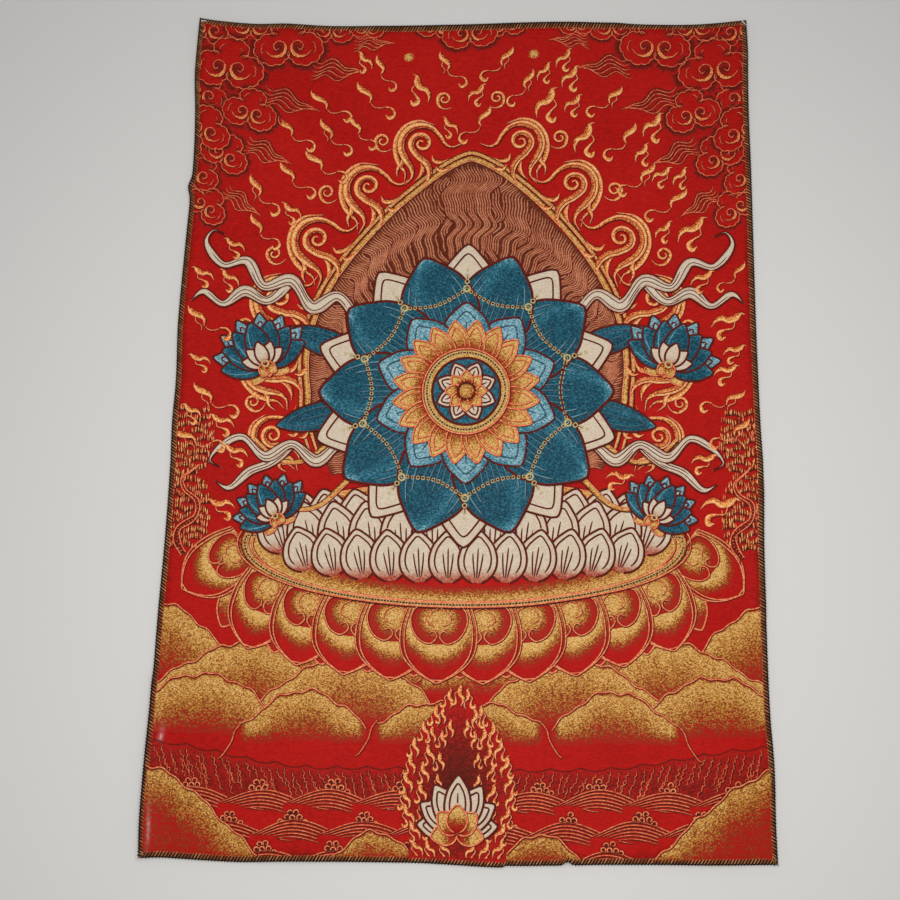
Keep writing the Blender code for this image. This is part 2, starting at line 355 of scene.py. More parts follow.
def ramp(tree, value, stops):
    """Colour ramp through stops, each its place and its red, green and blue from 0 to 255."""
    node = add_node(tree, "ShaderNodeValToRGB", {0: value})
    elements = node.color_ramp.elements
    while len(elements) < len(stops):
        elements.new(0.5)
    for element, (position, *colour) in zip(elements, stops):
        element.position = position
        element.color = (*srgb(*colour), 1.0)
    return node.outputs["Color"]


def tone_of(tree):
    """The tone that a mesh carries at each of its points."""
    return add_node(tree, "ShaderNodeAttribute", attribute_name="tone").outputs["Fac"]


# Two pale streaks: a scuff with painted sheen on a crease, and a painted highlight where the edge curls forwards
# Where the face is pale, in mm: middle across and up, half width, half height, lean in degrees, strength
SCUFF_AND_SHEEN = ((-297.5, -783.0, 5.0, 21.0, 8.0, 0.75), (-303.0, -866.0, 3.8, 40.0, -1.5, 0.6))
SCUFF_AND_SHEEN_COLOUR = (212, 172, 166)


def scuff_and_sheen(tree, coordinates, colour):
    """A colour with two pale streaks laid over it, low on the left: a scuff with painted sheen on a crease, and a
    painted highlight where the edge curls forwards.
    """
    patchy = maths(tree, "POWER", noise(tree, coordinates, 260.0, 4.0), 2.6)
    for x, z, half_width, half_height, lean, strength in SCUFF_AND_SHEEN:
        spot = add_node(tree, "ShaderNodeMapping", {
            "Vector": coordinates, "Location": (x * MM, 0, z * MM), "Rotation": (0, math.radians(lean), 0),
            "Scale": (half_width * MM, 1, half_height * MM)}, vector_type="TEXTURE").outputs[0]
        fade = add_node(tree, "ShaderNodeTexGradient", {"Vector": spot}, gradient_type="QUADRATIC_SPHERE")
        share = maths(tree, "MULTIPLY", maths(tree, "MULTIPLY", fade.outputs["Fac"], patchy), 4 * strength, clamp=True)
        colour = add_node(tree, "ShaderNodeMix", {0: share, 6: colour, 7: (*srgb(*SCUFF_AND_SHEEN_COLOUR), 1.0)},
                          data_type="RGBA").outputs[2]
    return colour


def weft_material(name, grain, rough, row, length, clumps, gloss, stops, worn_and_sheen):
    """Woven figure: a tone for each place, broken up float by float, read through a colour ramp."""
    material, tree, shader, coordinates = principled(name)
    floats = woven_floats(tree, coordinates, row, length, clumps)
    speckle = maths(tree, "MULTIPLY", maths(tree, "SUBTRACT", floats["Speckle"], 0.5), grain)
    colour = ramp(tree, maths(tree, "ADD", tone_of(tree), speckle, clamp=True), stops)
    uneven = remapped(tree, floats["Speckle"], To_Min=rough - 0.08, To_Max=rough + 0.08)
    surface(tree, shader, scuff_and_sheen(tree, coordinates, colour) if worn_and_sheen else colour, (0.6, 0.16, floats["Relief"]),
            {"Roughness": uneven, "Specular IOR Level": gloss})
    return material


RED = (182, 21, 15)
TEAL_STOPS = ((0.0, 6, 22, 30), (0.30, 12, 54, 70), (0.52, 24, 88, 108), (0.74, 66, 130, 148), (1.0, 158, 196, 204))

# Each weft: its piece and its looks. The colours run from where it hardly shows to where it covers the ground.
WEFTS = {
    # weft    piece             material         grain  rough  row  length  clumps  gloss
    "gold": ("gold_weft",       "gold weft",       0.85, 0.42, 0.85, 1.2,   840.0,  0.1, (
        (0.10, *RED), (0.26, 156, 42, 20), (0.38, 126, 56, 18), (0.56, 174, 108, 42), (0.78, 206, 148, 66),
        (0.98, 232, 188, 116))),
    "flame": ("flame_weft",     "flame weft",      0.85, 0.45, 0.85, 1.2,   840.0,  0.1, (
        (0.10, *RED), (0.28, 152, 44, 18), (0.46, 200, 86, 36), (0.70, 240, 146, 74), (0.97, 255, 212, 134))),
    "salmon": ("salmon_lines",  "salmon weft",     0.7,  0.5,  1.0,  1.6,   420.0,  0.12, (
        (0.0, 168, 48, 30), (0.35, 222, 88, 56), (0.7, 244, 138, 90), (1.0, 255, 190, 138))),
    "dark": ("dark_lines",      "dark brown weft", 0.5,  0.6,  0.9,  2.2,   420.0,  0.12, (
        (0.06, *RED), (0.35, 122, 22, 12), (0.65, 88, 24, 12), (1.0, 44, 18, 10))),
    "teal": ("teal_weft",       "teal weft",       0.5,  0.5,  1.0,  1.5,   420.0,  0.12, TEAL_STOPS),
    "pale": ("pale_blue_lines", "pale blue weft",  0.2,  0.5,  0.9,  2.2,   420.0,  0.12, TEAL_STOPS),
    "cream": ("cream_weft",     "cream weft",      0.45, 0.55, 1.0,  1.5,   420.0,  0.12, (
        (0.05, 168, 60, 44), (0.3, 190, 128, 104), (0.6, 206, 182, 158), (1.0, 226, 214, 190))),
    "copper": ("copper_weft",   "copper weft",     0.4,  0.5,  0.9,  2.2,   420.0,  0.12, (
        (0.0, 70, 22, 8), (0.35, 116, 52, 26), (0.65, 184, 104, 72), (1.0, 216, 150, 112))),
    "bead": ("pale_gold_beads", "pale gold weft",  0.3,  0.4,  0.9,  2.2,   420.0,  0.12, (
        (0.0, 120, 92, 40), (0.45, 196, 176, 112), (1.0, 232, 222, 170))),
}


# ---------------------------------------------------------------- the drawing board

LINE_STEP = 1.9          # spacing of points along a line
LEVEL = 0.055            # a shape that overlaps another is woven this much higher
RIDGE_FOOT, RIDGE_TOP = 0.04, 0.22       # heights of a raised line over its level
FLAT_HEIGHT, GLOW_HEIGHT = 0.028, 0.010  # the same for flat dark lines and for shading
APART = 0.0035           # step in height that keeps overlapping strips out of one plane
OUTLINE_POINTS = 150     # outlines are tested against with about this many points
SHORTEST = 4             # points in the shortest piece of a cut line that is kept
EDGE_LIMIT = 2.2         # the figure stops this far from the cut edge, under the overlocking
THINNEST = 0.04          # gold fields are left out where their tone is less than this
PRESSED, PRESSED_FADE = 5.0, 4.0         # up to here from the cut edge the overlocking presses the figure flat
EDGE_SHADE, EDGE_SHADE_FADE = 3.0, 11.0              # up to here from it the ground is darkened by painted shade next to the overlocking

SHAPES = []              # woven fields, cut by whatever is drawn over them
STROKES = []             # lines and shading, cut in the same way, and woven last
COVERS = []              # outlines drawn so far, each with its level


def weave(weft, places, heights, tones, faces):
    """Add a field to everything woven in one colour."""
    SHAPES.append({"weft": weft, "places": places, "heights": np.broadcast_to(heights, len(places)),
                   "tones": np.broadcast_to(tones, len(places)), "faces": faces,
                   "low": places.min(0), "high": places.max(0)})


def lengths(path):
    """Length of a path up to each of its points."""
    return np.concatenate(([0.0], np.cumsum(np.hypot(*np.diff(path, axis=0).T))))


def even(path, step=LINE_STEP):
    """The same path with evenly spaced points."""
    gone = lengths(path)
    at = np.linspace(0.0, gone[-1], max(3, round(gone[-1] / step) + 1))
    return np.column_stack((np.interp(at, gone, path[:, 0]), np.interp(at, gone, path[:, 1])))


def curve(points, closed=False, step=LINE_STEP):
    """Smooth line through a few points."""
    p = np.asarray(points, float)
    p = np.vstack((p[-1], p, p[0], p[1])) if closed else np.vstack((2 * p[0] - p[1], p, 2 * p[-1] - p[-2]))
    t = np.linspace(0, 1, 10, endpoint=False)[:, None]
    parts = [0.5 * (2 * b + (c - a) * t + (2 * a - 5 * b + 4 * c - d) * t ** 2 + (3 * b - a - 3 * c + d) * t ** 3)
             for a, b, c, d in zip(p, p[1:], p[2:], p[3:])]
    return even(np.vstack(parts + [p[-2:-1]]), step)


def place(points, at, size=1.0, turn=0.0, flip=False):
    """Move a motif drawn about its own origin to its place: scaled, turned (degrees), then mirrored."""
    c, s = math.cos(math.radians(turn)), math.sin(math.radians(turn))
    moved = np.asarray(points, float) * size @ np.array(((c, s), (-s, c)))
    return (moved * (-1, 1) if flip else moved) + at


def laid(x, y, at, turn):
    """A grid drawn about the origin, moved to its place: its x and y."""
    moved = place(np.stack((x, y), -1).reshape(-1, 2), at, 1.0, turn).reshape(*x.shape, 2)
    return moved[..., 0], moved[..., 1]


def mirrored(points, side):
    """Points given for the right half, kept there for side 1 or taken to the left half for side -1."""
    return np.array(points, float) * (side, 1)


def arc(start, end, radius, squash=1.0, count=24):
    """Part of a circle about the origin, between two angles in degrees."""
    angles = np.radians(np.linspace(start, end, count))
    return np.column_stack((np.cos(angles), squash * np.sin(angles))) * radius


def around(centre, angle, radius):
    """Place at an angle (degrees) and a distance from a centre."""
    return np.array(centre) + radius * np.array((math.cos(math.radians(angle)), math.sin(math.radians(angle))))


def side_steps(path, smoothing=0):
    """Unit vectors to the left of a path."""
    ahead = np.gradient(path, axis=0)
    for _ in range(smoothing):
        ahead[1:-1] = (ahead[:-2] + 2 * ahead[1:-1] + ahead[2:]) / 4
    ahead /= np.maximum(np.hypot(*ahead.T), 1e-9)[:, None]
    return np.column_stack((-ahead[:, 1], ahead[:, 0]))


def inside(points, outline):
    """Which points lie inside a closed outline."""
    x, y = points[:, 0, None], points[:, 1, None]
    x0, y0 = outline.T
    x1, y1 = np.roll(outline, -1, axis=0).T
    rise = np.where(y1 == y0, 1e-9, y1 - y0)
    return (((y0 > y) != (y1 > y)) & (x < x0 + (y - y0) / rise * (x1 - x0))).sum(1) % 2 == 1


def boxes_meet(low, high, other_low, other_high):
    """Whether two boxes overlap."""
    return (low[0] <= other_high[0] and other_low[0] <= high[0]
            and low[1] <= other_high[1] and other_low[1] <= high[1])


def level_under(points):
    """Highest level of anything already drawn under these points."""
    low, high = points.min(0), points.max(0)
    best = 0
    for outline, cover_low, cover_high, level in COVERS:
        if level > best and boxes_meet(low, high, cover_low, cover_high):
            if inside(points[::2], outline).any() or inside(outline[::2], points).any():
                best = level
    return best


def cut_away(outline):
    """Remove what a new shape hides from the lines and fields drawn so far, and trim fields to its outline."""
    low, high = outline.min(0), outline.max(0)
    left = []
    for line in STROKES:
        kept = ~inside(line["points"], outline) if boxes_meet(line["low"], line["high"], low, high) else None
        if kept is None or kept.all():
            left.append(line)
            continue
        ends = np.flatnonzero(np.diff(np.concatenate(([0], kept.astype(int), [0]))))
        left += [{**line, "points": line["points"][start:end], "widths": line["widths"][start:end]}
                 for start, end in zip(ends[::2], ends[1::2]) if end - start >= SHORTEST]
    STROKES[:] = left
    for shape in SHAPES:
        if boxes_meet(shape["low"], shape["high"], low, high):
            hidden = inside(shape["places"], outline)
            shape["faces"] = shape["faces"][~hidden[shape["faces"]].all(1)]
            loose = np.unique(shape["faces"][hidden[shape["faces"]]])
            if len(loose):
                rim = even(np.vstack((outline, outline[:1])), 1.0)
                away = ((shape["places"][loose][:, None] - rim[None]) ** 2).sum(-1)
                shape["places"][loose] = rim[away.argmin(1)]


def cover(outline):
    """Lay a new shape over what is drawn, and return its level."""
    outline = outline[::max(1, len(outline) // OUTLINE_POINTS)]
    level = 1 + level_under(outline)
    cut_away(outline)
    COVERS.append((outline, outline.min(0), outline.max(0), level))
    return level


def add_stroke(kind, weft, points, widths, level, tones):
    """Put a line on the board."""
    reach = np.abs(widths).max()
    STROKES.append({"kind": kind, "weft": weft, "points": points, "widths": widths, "level": level, "tones": tones,
                    "low": points.min(0) - reach, "high": points.max(0) + reach})


def tapered(count, width, ends):
    """Widths along a line that narrows at both ends, over so many points."""
    index = np.arange(count)
    near = np.minimum(np.minimum(index, count - 1 - index) / max(ends, 1e-6), 1.0)
    return width * (0.25 + 0.75 * near ** 0.7)


def stroke(points, width, weft="salmon", level=None, ends=3, tone=0.6, under=1.7):
    """Raised line with a dark shade line under it, mostly on its lower right."""
    if level is None:
        level = level_under(points)
    widths = tapered(len(points), width * 1.12, ends)
    if under:
        add_stroke("flat", "dark", points + (0.35, -0.35), widths + under * 0.75, level, (0.8, 0.8))
    add_stroke("ridge", weft, points, widths, level, (tone, tone))


def glow(points, reach, strength, side=1, level=0, ends=8):
    """Dark shading that fades away to one side of a line."""
    add_stroke("glow", "dark", points, side * reach * tapered(len(points), 1.0, ends), level, (strength, 0.0))


def weave_strokes():
    """Turn every line left on the board into woven mesh."""
    for number, item in enumerate(STROKES):
        apart = APART * (number % 5)
        path, widths = item["points"], item["widths"][:, None]
        aside = side_steps(path, 4 if item["kind"] == "glow" else 0)
        base, (near, far) = item["level"] * LEVEL, item["tones"]
        if item["kind"] == "ridge":
            columns = (path + aside * widths / 2, path, path - aside * widths / 2)
            heights = (base + RIDGE_FOOT, base + RIDGE_TOP, base + RIDGE_FOOT)
            tones = (near - 0.1, near + 0.1, near - 0.2)
        elif item["kind"] == "flat":
            columns = (path + aside * widths / 2, path - aside * widths / 2)
            heights, tones = (base + FLAT_HEIGHT + apart / 2,) * 2, (near, far)
        else:
            columns = (path, path + aside * widths * 0.45, path + aside * widths)
            heights, tones = (base + GLOW_HEIGHT + apart,) * 3, (near, near * 0.6, far)
        places, faces = np.stack(columns, axis=1).reshape(-1, 2), grid_faces(len(path), len(columns))
        across, down = places[faces[:, 2]] - places[faces[:, 0]], places[faces[:, 3]] - places[faces[:, 1]]
        turned = across[:, 0] * down[:, 1] - across[:, 1] * down[:, 0]
        faces = faces[turned * np.sign(np.median(turned)) > 0]
        weave(item["weft"], places, np.tile(heights, len(path)), np.tile(tones, len(path)), faces)


def patch(shape, rows, columns, weft, tone, level=None, wrap=False):
    """Field woven over a grid: shape and tone take u across and v along, both from 0 to 1."""
    u, v = np.meshgrid(np.linspace(0, 1, columns, endpoint=not wrap), np.linspace(0, 1, rows))
    places = np.stack(np.broadcast_arrays(*shape(u, v)), -1)
    if level is None:
        level = cover(places[-1] if wrap else border_of(places))
    tones = np.broadcast_to(tone(u, v), u.shape)
    weave(weft, places.reshape(-1, 2), level * LEVEL, tones.ravel(), grid_faces(rows, columns, wrap=wrap))
    return level


# Tones across a stripe: a rail is bright along its middle, a flame along one side
RAIL_TONES = (0.40, 0.78, 0.92, 0.72, 0.38)
BRIGHT_LEFT = (0.98, 0.88, 0.68, 0.50, 0.36)
BRIGHT_RIGHT = (0.36, 0.50, 0.68, 0.88, 0.98)


def band(spine, widths, weft="gold", tones=RAIL_TONES, level=None, dark=1.3, edge=1.0, split=False):
    """Tapering stripe along a line: shaded across, with dark seams, and a fine line on its bright side or middle."""
    widths = np.asarray(widths, float)[:, None]
    aside = side_steps(spine)
    left, right = spine + aside * widths / 2, spine - aside * widths / 2
    if level is None:
        level = cover(np.vstack((left, right[::-1])))
    count = len(tones)
    share = np.linspace(0, 1, count)[None, :, None]
    places = left[:, None] * (1 - share) + right[:, None] * share
    if dark:
        for rim in (left, right):
            add_stroke("flat", "dark", rim + (0.3, -0.3), tapered(len(rim), dark * 1.7, 3), level - 0.75, (0.8, 0.8))
    weave(weft, places.reshape(-1, 2), np.tile(level * LEVEL + 0.06 * np.sin(np.pi * share[0, :, 0]), len(spine)),
          np.tile(tones, len(spine)), grid_faces(len(spine), count))
    if edge:
        bright = left if tones[0] >= tones[-1] else right
        add_stroke("ridge", "salmon", bright, tapered(len(left), edge, 3), level, (0.75, 0.75))
    if split:
        wide = widths[:, 0] > 3.9
        stroke((spine + aside * widths * 0.06)[wide], 0.75, level=level + 0.8, ends=6, under=1.1)
    return level


def profile(count, *stops):
    """Widths along a stripe from (share, width) stops, eased between them."""
    shares, values = np.array(stops, float).T
    at = np.linspace(0, 1, count)
    index = np.clip(np.searchsorted(shares, at, side="right") - 1, 0, len(shares) - 2)
    t = smoothstep((at - shares[index]) / (shares[index + 1] - shares[index]))
    return values[index] * (1 - t) + values[index + 1] * t


def flame_band(points, at, size, turn, flip, stops, step=1.7, tones=BRIGHT_RIGHT, **looks):
    """Flame stripe whose line and widths are given for a motif of size 1."""
    spine = curve(place(points, at, size, turn, flip), step=step)
    band(spine, size * profile(len(spine), *stops), "flame", tones[::-1] if flip else tones, **looks)


# ---------------------------------------------------------------- flames

# Centre lines of the parts of a flame, each with its widths by share of its length. The tip of a lick is
# at the origin and its root lies below on the right.
LICK = (((0, 0), (0.06, -0.24), (0.34, -0.52), (0.78, -0.74), (0.98, -1.02), (0.92, -1.38)),
        ((0, 0.02), (0.28, 0.36), (0.55, 0.32), (0.80, 0.15), (1, 0.05)))
SHORT_LICK = (((-0.04, 0.04), (0.20, 0.02), (0.36, -0.26), (0.62, -0.48), (0.96, -0.48), (1.22, -0.74),
               (1.30, -1.10)),
              ((0, 0.02), (0.30, 0.32), (0.60, 0.24), (1, 0.02)))
COMMA = (((1.92, -1.60), (2.34, -1.70), (2.52, -2.04), (2.26, -2.34), (2.00, -2.16)),
         ((0, 0.05), (0.35, 0.12), (0.75, 0.26), (1, 0.06)))
SMALL_COMMA = (((0.30, -0.42), (0.26, -0.78), (0.56, -0.98), (0.80, -1.22), (0.66, -1.46), (0.46, -1.32)),
               ((0, 0.03), (0.35, 0.05), (0.80, 0.25), (1, 0.06)))
TAIL_LINE = ((0.92, -1.34), (1.20, -1.66), (1.60, -1.70), (1.98, -1.60))
LOOSE_LINE = ((0.46, -0.66), (0.40, -1.05), (0.74, -1.36), (0.72, -1.72))


def tongue(at, size, turn, flip, kind):
    """Lick of flame: a fat S-shaped body that thins out to a line with a gold comma at its end."""
    spot = (at, size, turn, flip)
    comma, lick = (SMALL_COMMA, SHORT_LICK) if kind == 1 else (COMMA, LICK)
    if kind != 1:
        stroke(curve(place(TAIL_LINE, *spot)), 1.15)
    flame_band(comma[0], *spot, comma[1], step=1.2, dark=0.8, edge=0.8, tones=BRIGHT_LEFT)
    if kind == 2:
        stroke(curve(place(LOOSE_LINE, *spot)), 1.1)
    flame_band(lick[0], *spot, lick[1], step=1.3, dark=0.9, edge=0.9)


def ring_curl(at, size, turn, flip):
    """Small flame that rolls up once, with a short tail."""
    turns = np.linspace(0, 1, 26)[:, None]
    rolled = arc(-230, 215, 1.0, count=26) * (0.22 + 0.78 * turns ** 0.8)
    spine = np.vstack((rolled, ((-0.30, -1.30), (0.42, -1.56), (1.15, -1.34), (1.75, -0.80))))
    cover(place(arc(0, 360, 0.95, count=24), at, size, turn, flip))
    flame_band(spine, at, size, turn, flip, ((0, 0.20), (0.3, 0.30), (0.62, 0.46), (1, 0.02)), step=1.3, dark=0.9,
               edge=0.9)


OUTER_ARC = ((3.3, 1.50), (2.6, 0.82), (1.85, 0.86), (1.10, 1.36), (0.10, 1.70), (-0.90, 1.46), (-1.60, 0.72),
             (-1.78, -0.30), (-1.42, -1.25), (-0.62, -1.95), (0.22, -2.50), (0.66, -3.25), (0.42, -4.2))
OUTERMOST = ((0.30, 2.10), (-1.12, 1.86), (-2.00, 0.92), (-2.24, -0.38), (-1.86, -1.56), (-1.06, -2.50),
             (-0.10, -3.10), (0.24, -3.90))
INNER_SWEEP = ((0.34, -1.26), (1.10, -1.46), (1.78, -2.00), (2.06, -2.85), (1.84, -3.7))
SCROLL_TAILS = (
    (((-1.10, -1.85), (-0.72, -2.45), (-0.86, -3.10), (-0.52, -3.8)), ((0, 0.03), (0.35, 0.32), (1, 0.01))),
    (((0.70, -1.62), (1.20, -2.20), (1.24, -2.95), (1.00, -3.5)), ((0, 0.03), (0.4, 0.34), (1, 0.01))),
    (((1.35, -0.62), (1.72, -0.98), (2.30, -0.82), (2.80, -0.30)), ((0, 0.06), (0.4, 0.34), (1, 0.01))),
    (((2.10, -1.42), (2.52, -1.62), (3.02, -1.34), (3.40, -0.80)), ((0, 0.06), (0.4, 0.32), (1, 0.01))),
)


def flame_scroll(at, size, turn, flip):
    """Large flame: a stripe rolled up inside two others, all sweeping down into tails, and loose licks."""
    spot = (at, size, turn, flip)
    cover(place(np.vstack((arc(60, 250, 1.7, count=20), ((0.2, -2.4), (1.6, -2.0), (0.9, -0.2)))), *spot))
    for points, stops in ((OUTERMOST, ((0, 0.02), (0.35, 0.34), (0.7, 0.38), (1, 0.01))),) + SCROLL_TAILS:
        flame_band(points, *spot, stops)
    flame_band(OUTER_ARC, *spot, ((0, 0.03), (0.22, 0.26), (0.45, 0.54), (0.72, 0.56), (1, 0.01)), split=True)
    wound = np.linspace(0, 1, 40)[:, None]
    spiral = arc(-290, 250, 1.0, count=40) * (0.12 + 0.88 * wound)
    flame_band(np.vstack((spiral, INNER_SWEEP)), *spot,
               ((0, 0.12), (0.15, 0.26), (0.5, 0.50), (0.75, 0.52), (1, 0.01)), dark=1.0, split=True)


# ---------------------------------------------------------------- clouds and leaves

def lobes(cusps, bulge):
    """Line of round lobes between cusps, swelling to the left of the way it runs."""
    cusps = np.asarray(cusps, float)
    t = np.linspace(0, 1, 9, endpoint=False)[:, None]
    parts = [start + (end - start) * (t - 0.05 * np.sin(2 * np.pi * t))
             + np.array((start[1] - end[1], end[0] - start[0])) * bulge * np.sin(np.pi * t) ** 0.8
             for start, end in zip(cusps[:-1], cusps[1:])]
    return np.vstack(parts + [cusps[-1:]])


# A cloud head, one unit from its middle to its side: the cusps between its lobes, and the hook on its right
SIDE_CUSPS = ((0.30, 0.42), (0.56, 0.46), (0.84, 0.33), (0.99, 0.06), (0.92, -0.24), (0.68, -0.44), (0.38, -0.50),
              (0.12, -0.36), (0.0, -0.10))
TOP_CUSPS = ((-0.36, 0.44), (-0.50, 0.64), (-0.38, 0.86), (-0.10, 0.96), (0.20, 0.94), (0.44, 0.80), (0.48, 0.60),
             (0.36, 0.44))
HOOK = ((0.68, -0.06), (0.52, -0.22), (0.26, -0.24), (0.10, -0.06), (0.12, 0.16), (0.30, 0.24), (0.44, 0.12),
        (0.38, -0.04), (0.27, 0.02))


def cloud(at, size, turn, flip=False):
    """Cloud head: scalloped lobes at its sides and top round two hooks that end in gold commas."""
    spot = (at, size, turn, flip)
    right = lobes(SIDE_CUSPS, 0.26)
    outlines = (lobes(TOP_CUSPS, 0.26), right, (right * (-1, 1))[::-1])
    lines = [even(place(outline, *spot), 1.4) for outline in outlines]
    level = cover(place(np.vstack(outlines), *spot))
    for line in lines:
        glow(line, size * 0.24, side=-1 if flip else 1, strength=0.66, level=level - 0.4)
    inner = (
        # cusps            drawn in towards  side
        (SIDE_CUSPS[2:5], (0.46, 0.0),       1),
        (SIDE_CUSPS[2:5], (0.46, 0.0),       -1),
        (TOP_CUSPS[1:3],  (0.0, 0.5),        1),
        (TOP_CUSPS[4:7],  (0.0, 0.5),        1),
    )
    echoes = [even(place(lobes((np.array(cusps) - centre) * 0.62 + centre, 0.24) * (side, 1), *spot), 1.4)
              for cusps, centre, side in inner]
    for width, arcs in ((1.08, lines), (0.95, echoes)):
        for line in arcs:
            stroke(line, width, level=level, under=1.0, tone=0.42)
    for side in (1, -1):
        well = place(arc(0, 360, 0.22, count=14) + (0.27 * side, 0.02), *spot)
        centre = well.mean(0)
        patch(lambda u, v: tuple(centre[k] + v * (np.interp(u * 13, range(14), well[:, k]) - centre[k])
                                 for k in (0, 1)), 3, 14, "dark", lambda u, v: 0.58 - 0.5 * v, level=level + 0.25)
        hook = curve(place(np.array(HOOK) * (side, 1), *spot), step=1.2)
        stroke(hook, 1.1, level=level + 0.5, under=0.9, tone=0.45)
        comma = hook[:len(hook) * 58 // 100]
        widths = size * profile(len(comma), (0, 0.01), (0.62, 0.108), (1, 0.06))
        tones = RAIL_TONES if size > 24 else (0.7, 0.9, 0.8)
        band(comma, widths, "flame", tones, level=level + 1, dark=0.6, edge=0)


def cloud_tail(at, size, turn, flip):
    """Streaming tail of a cloud: nearly parallel wavy lines that close up into a point."""
    t = np.linspace(0, 1, 34)
    spread = []
    for k in range(5):
        away = k - 2
        swing = 0.075 * np.sin(t * 11.0 + k * 0.35) * (1 - t) ** 0.35
        line = np.column_stack((t * (1.0 - 0.07 * abs(away)), away * 0.085 * (1 - t ** 3.2) + swing))
        spread.append(even(place(line, at, size, turn, flip)))
    cover(np.vstack((spread[0], spread[-1][::-1])))
    for line in spread:
        stroke(line, 1.05, under=1.0, tone=0.42)
        glow(line, size * 0.06, side=1 if flip else -1, strength=0.62)


LEAF_ROW = 7.4           # from one row of leaves down to the next
CROWN_END = 304          # the crowns stop this far out, at the overlocking
TRUNK = ((0.30, 0.22), (0.04, 0.12), (-0.26, 0.00), (-0.14, -0.16), (0.28, -0.30), (0.26, -0.52), (-0.26, -0.70),
         (-0.28, -0.88), (-0.02, -1.06))


def leafy_tree(at, width, height):
    """Crown in two lobes, of short upright leaves in scalloped rows on a brown shade, and a winding trunk over it."""
    rows = round(2 * height / LEAF_ROW)
    for row in range(rows):
        down = row / (rows - 1)
        lobe = abs(math.sin(math.pi * (0.12 + 1.82 * down))) ** 0.6
        reach = width * (0.30 + 0.70 * lobe) * DRAWS.uniform(0.92, 1.08)
        phase = DRAWS.uniform(0, 3.0)
        x = np.arange(-18, reach, 2.3) * -np.sign(at[0])
        top = np.column_stack((x, height - LEAF_ROW * row + 4.2 * np.abs(np.sin(x / 7.5 + phase)))) + at
        top = top[np.abs(top[:, 0]) < CROWN_END]
        if len(top) < 4:
            continue
        glow(even(top - (0, 6.6)), 7.5 * np.sign(at[0]), side=-1, strength=0.72, level=0, ends=2)
        for spot in top:
            spot = spot + DRAWS.uniform(-0.7, 0.7, 2)
            leaf = even(np.array((spot, spot + (DRAWS.uniform(-0.8, 0.8), -DRAWS.uniform(4.8, 6.6)))), 2.2)
            stroke(leaf, 1.2, weft="flame" if DRAWS.uniform() < 0.6 else "salmon", level=0, ends=1,
                   tone=DRAWS.uniform(0.42, 0.86), under=1.0)
    trunk = curve(np.array(TRUNK) * (1.3 * width, height) + at, step=1.7)
    knotty = 1 + 0.16 * np.sin(np.arange(len(trunk)) / 2.3)
    half_widths = profile(len(trunk), (0, 0.3), (0.4, 1.8), (1, 3.2))[:, None] * knotty[:, None]
    aside = side_steps(trunk) * half_widths
    left, right = trunk + aside, trunk - aside
    level = band(trunk, half_widths[:, 0] * 2, "dark", (0.5, 0.42, 0.5), dark=0.8, edge=0)
    for side in (left, right):
        stroke(side, 1.05, level=level, under=0.8)
    for k in range(8, len(trunk) - 1, 2):
        across = (left[k] - right[k]) * DRAWS.uniform(0.2, 0.46)
        spot = trunk[k] + across * DRAWS.uniform(-0.8, 0.8)
        bark = even(np.array((spot - across / 2, spot + across / 2)), 0.8)
        stroke(bark, 0.8, level=level + 0.6, tone=0.5, ends=1, under=0)


def star(at, size):
    """Small gold sun with short rays."""
    def shape(u, v):
        reach = size * (0.60 + 0.40 * np.abs(np.cos(u * 12 * math.pi)) ** 3)
        return at[0] + v * reach * np.cos(2 * math.pi * u), at[1] + v * reach * np.sin(2 * math.pi * u)
    patch(shape, 4, 48, "gold", lambda u, v: 0.98 - 0.3 * v, wrap=True)


# ---------------------------------------------------------------- petals, blossoms and the rosette

def leaf_shape(at, width, height, turn, foot=0.25):
    """Outline of a petal as a function of u across and v from its foot to its pointed tip."""
    def shape(u, v):
        v = np.clip(v, 0, 1)
        swell = np.sin(np.pi * v ** 0.78) ** 0.60 * (1 - 0.22 * smoothstep((v - 0.72) / 0.28))
        half = width / 2 * np.maximum(swell, foot * (1 - v) ** 0.5)
        return laid(half * (2 * u - 1), v * height, at, turn)
    return shape


def path_of(shape, u, v, step=LINE_STEP):
    """Line through a shape at given u and v."""
    return even(np.column_stack(shape(*np.broadcast_arrays(u, v))), step)


def rim_of(shape, inset=0.0, start=0.0, end=1.0):
    """Line up one side of a petal and down the other."""
    v = np.linspace(start, end, 36)
    return path_of(shape, np.repeat((inset, 1 - inset), len(v)), np.concatenate((v, v[::-1])))


def petal(at, width, height, turn, weft, tone, insets=(), veins=1, rim=1.4, inner=""):
    """Petal with a shaded field, an outline, lines that follow it inside, and veins."""
    shape = leaf_shape(at, width, height, turn)
    level = patch(shape, max(6, round(height / 4)), max(5, round(width / 4)), weft, tone)
    line = "salmon" if weft == "gold" else "dark"
    inner = inner or line
    for inset in insets:
        within = leaf_shape(place((0, height * inset * 0.7), at, 1.0, turn), width * (1 - 2 * inset),
                            height * (1 - 1.5 * inset), turn)
        stroke(rim_of(within, start=0.12), 1.15, weft=inner, level=level, under=0.5)
    for k in range(veins):
        aside = k - (veins - 1) / 2
        t = np.linspace(0.1, 0.66 - 0.1 * abs(aside), 20)
        stroke(path_of(shape, 0.5 + 0.16 * aside * (0.3 + t), t), 1.0, weft=inner, level=level, under=0.4)
    stroke(rim_of(shape), rim, weft=line, level=level, ends=1, under=0.9)
    return level, shape


def teal_tone(u, v):
    """Deep in the body, lighter along one flank and at the tip."""
    flank = np.exp(-((u - 0.24) / 0.12) ** 2) * smoothstep(v * 3) * 0.14
    return 0.44 + flank + 0.30 * smoothstep((v - 0.84) / 0.16) - 0.22 * smoothstep((0.3 - v) / 0.3)


